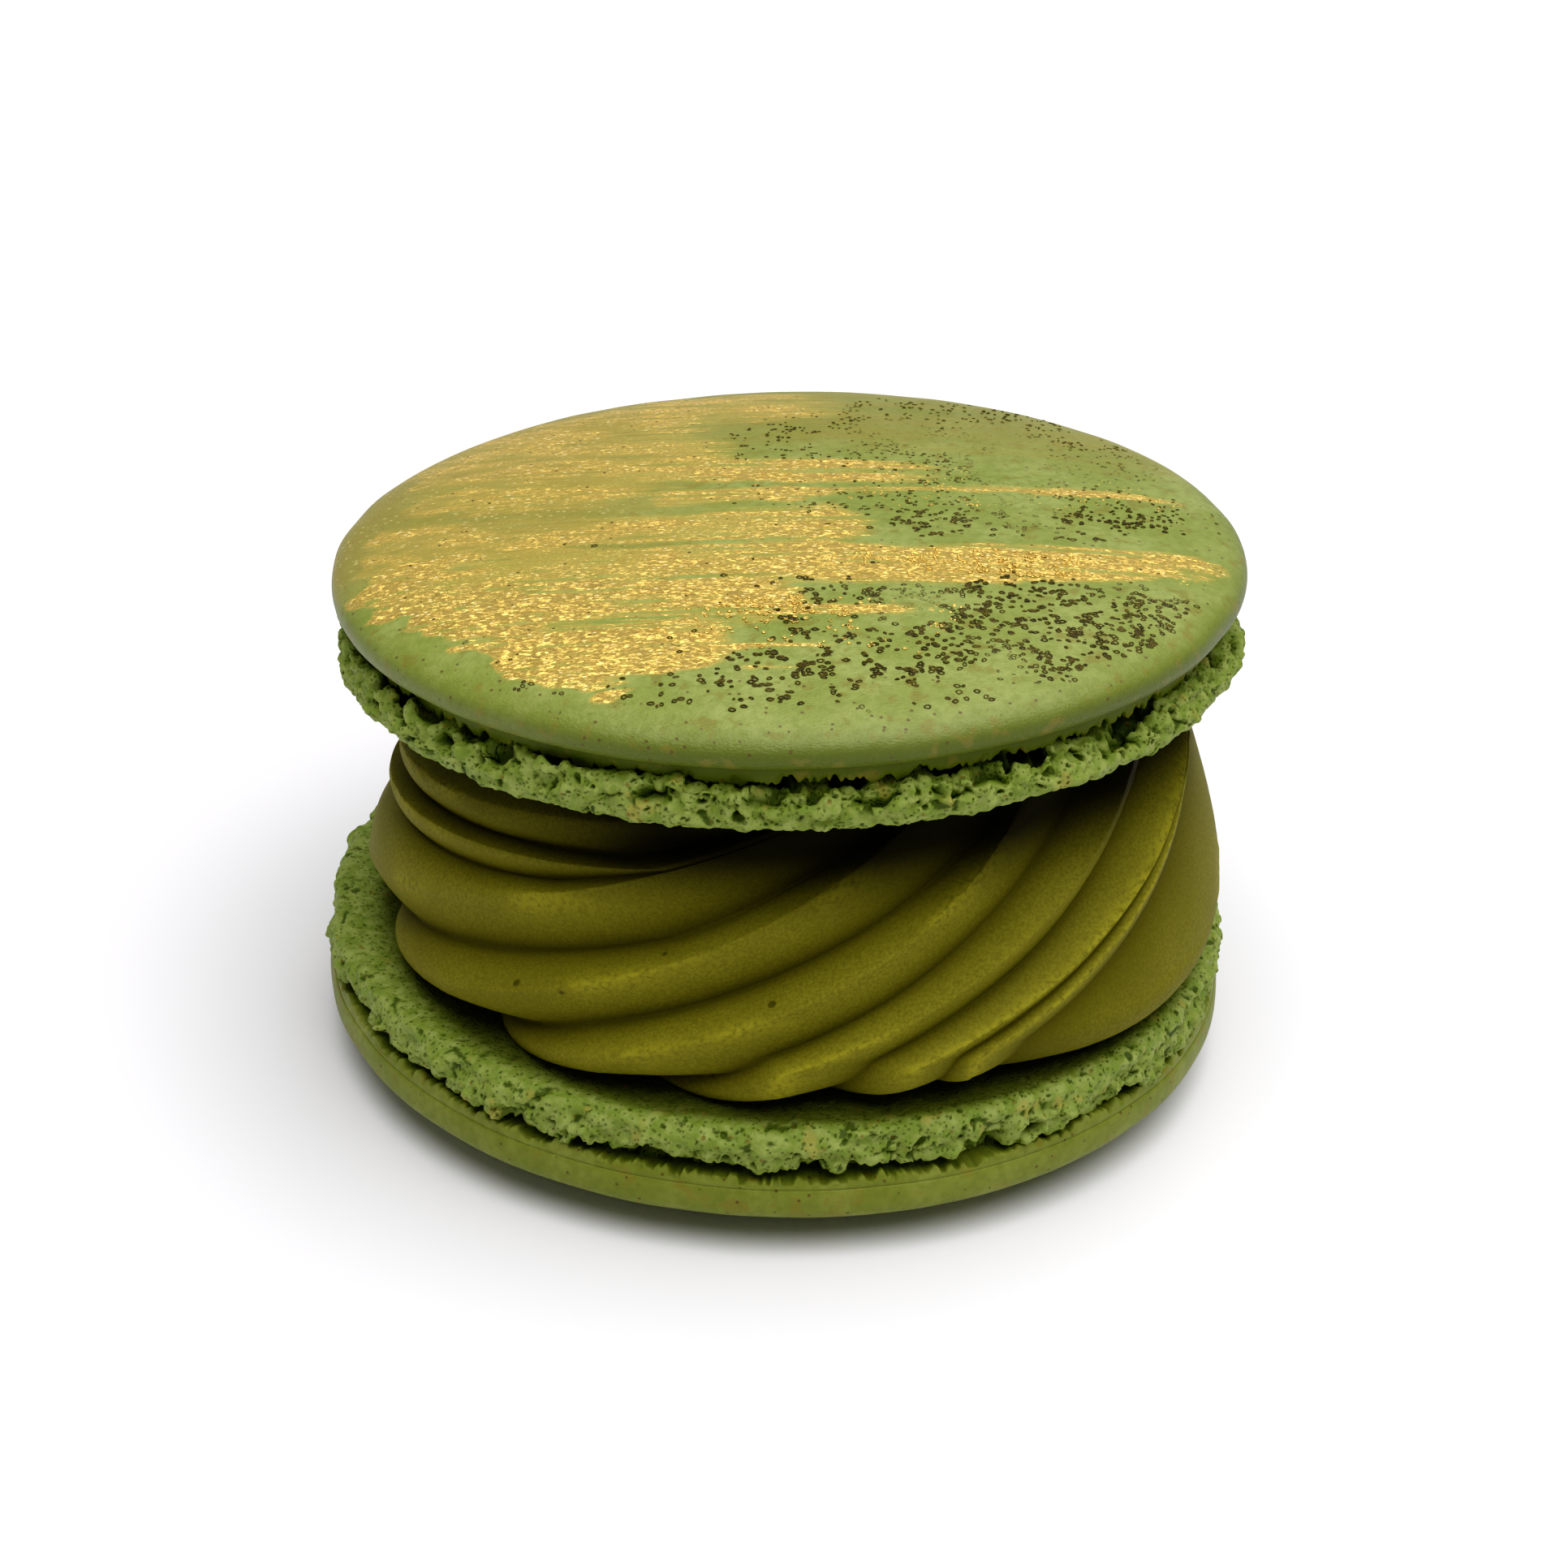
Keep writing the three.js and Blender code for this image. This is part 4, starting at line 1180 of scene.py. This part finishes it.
# %% [markdown]
# ## Table and light
#
# A pale table under one large soft box, hung a metre up, a little in front and to the right, with a weaker
# lamp behind and some light from the room. Most light comes straight down, so the caps are bright, and the
# filling sinks into shadow under the upper shell. The table throws light back up, which keeps the rims from
# going black.

# %% Table and light
TABLE_SIZE = 4.0
TABLE_COLOUR = (0.835, 0.822, 0.848)
LAMP_AIM = Vector((0, 0, 0.012))
ROOM_STRENGTH = 0.24
FILM_TOE = 0.03
LIGHTS = (
    # name, place in metres, diameter in metres, watts
    ("overhead", (0.14, -0.18, 1.0), 1.4, 16.9),
    ("back", (0.25, 0.72, 0.85), 0.6, 1.2),
)


def make_table():
    """One wide face at height 0, which only catches light and shadow."""
    half = TABLE_SIZE / 2 / MM
    corners = np.array([[-half, -half, 0], [half, -half, 0], [half, half, 0], [-half, half, 0]])
    table = mesh_object("table", corners, np.array([[0, 1, 2, 3]]))
    f = Finish("table")
    f.finish(f.shade(Base_Color=(*TABLE_COLOUR, 1), Roughness=0.7, Specular_IOR_Level=0.2), table)


def make_light(name, place, size, watts):
    """A disc-shaped lamp that faces the macaron."""
    data = bpy.data.lights.new(name, "AREA")
    data.shape = "DISK"
    data.size = size
    data.energy = watts
    light = bpy.data.objects.new(name, data)
    light.location = place
    light.rotation_euler = (LAMP_AIM - Vector(place)).to_track_quat("-Z", "Y").to_euler()
    bpy.context.scene.collection.objects.link(light)


def make_film_curve():
    """A camera deepens its darkest tones a little: x^2 / (x + 0.03), scaled to keep white at 1. Curve 3 acts
    on red, green and blue together."""
    settings = bpy.context.scene.view_settings
    settings.use_curve_mapping = True
    curve = settings.curve_mapping.curves[3]
    for x in (0.01, 0.02, 0.04, 0.08, 0.15, 0.3, 0.6):
        curve.points.new(x, (1 + FILM_TOE) * x**2 / (x + FILM_TOE))
    settings.curve_mapping.update()


make_table()
for name, place, size, watts in LIGHTS:
    make_light(name, place, size, watts)
world = bpy.data.worlds.new("room")
world.use_nodes = True
world.node_tree.nodes["Background"].inputs["Color"].default_value = (1, 1, 1, 1)
world.node_tree.nodes["Background"].inputs["Strength"].default_value = ROOM_STRENGTH
bpy.context.scene.world = world
bpy.context.scene.view_settings.view_transform = "Standard"
make_film_curve()
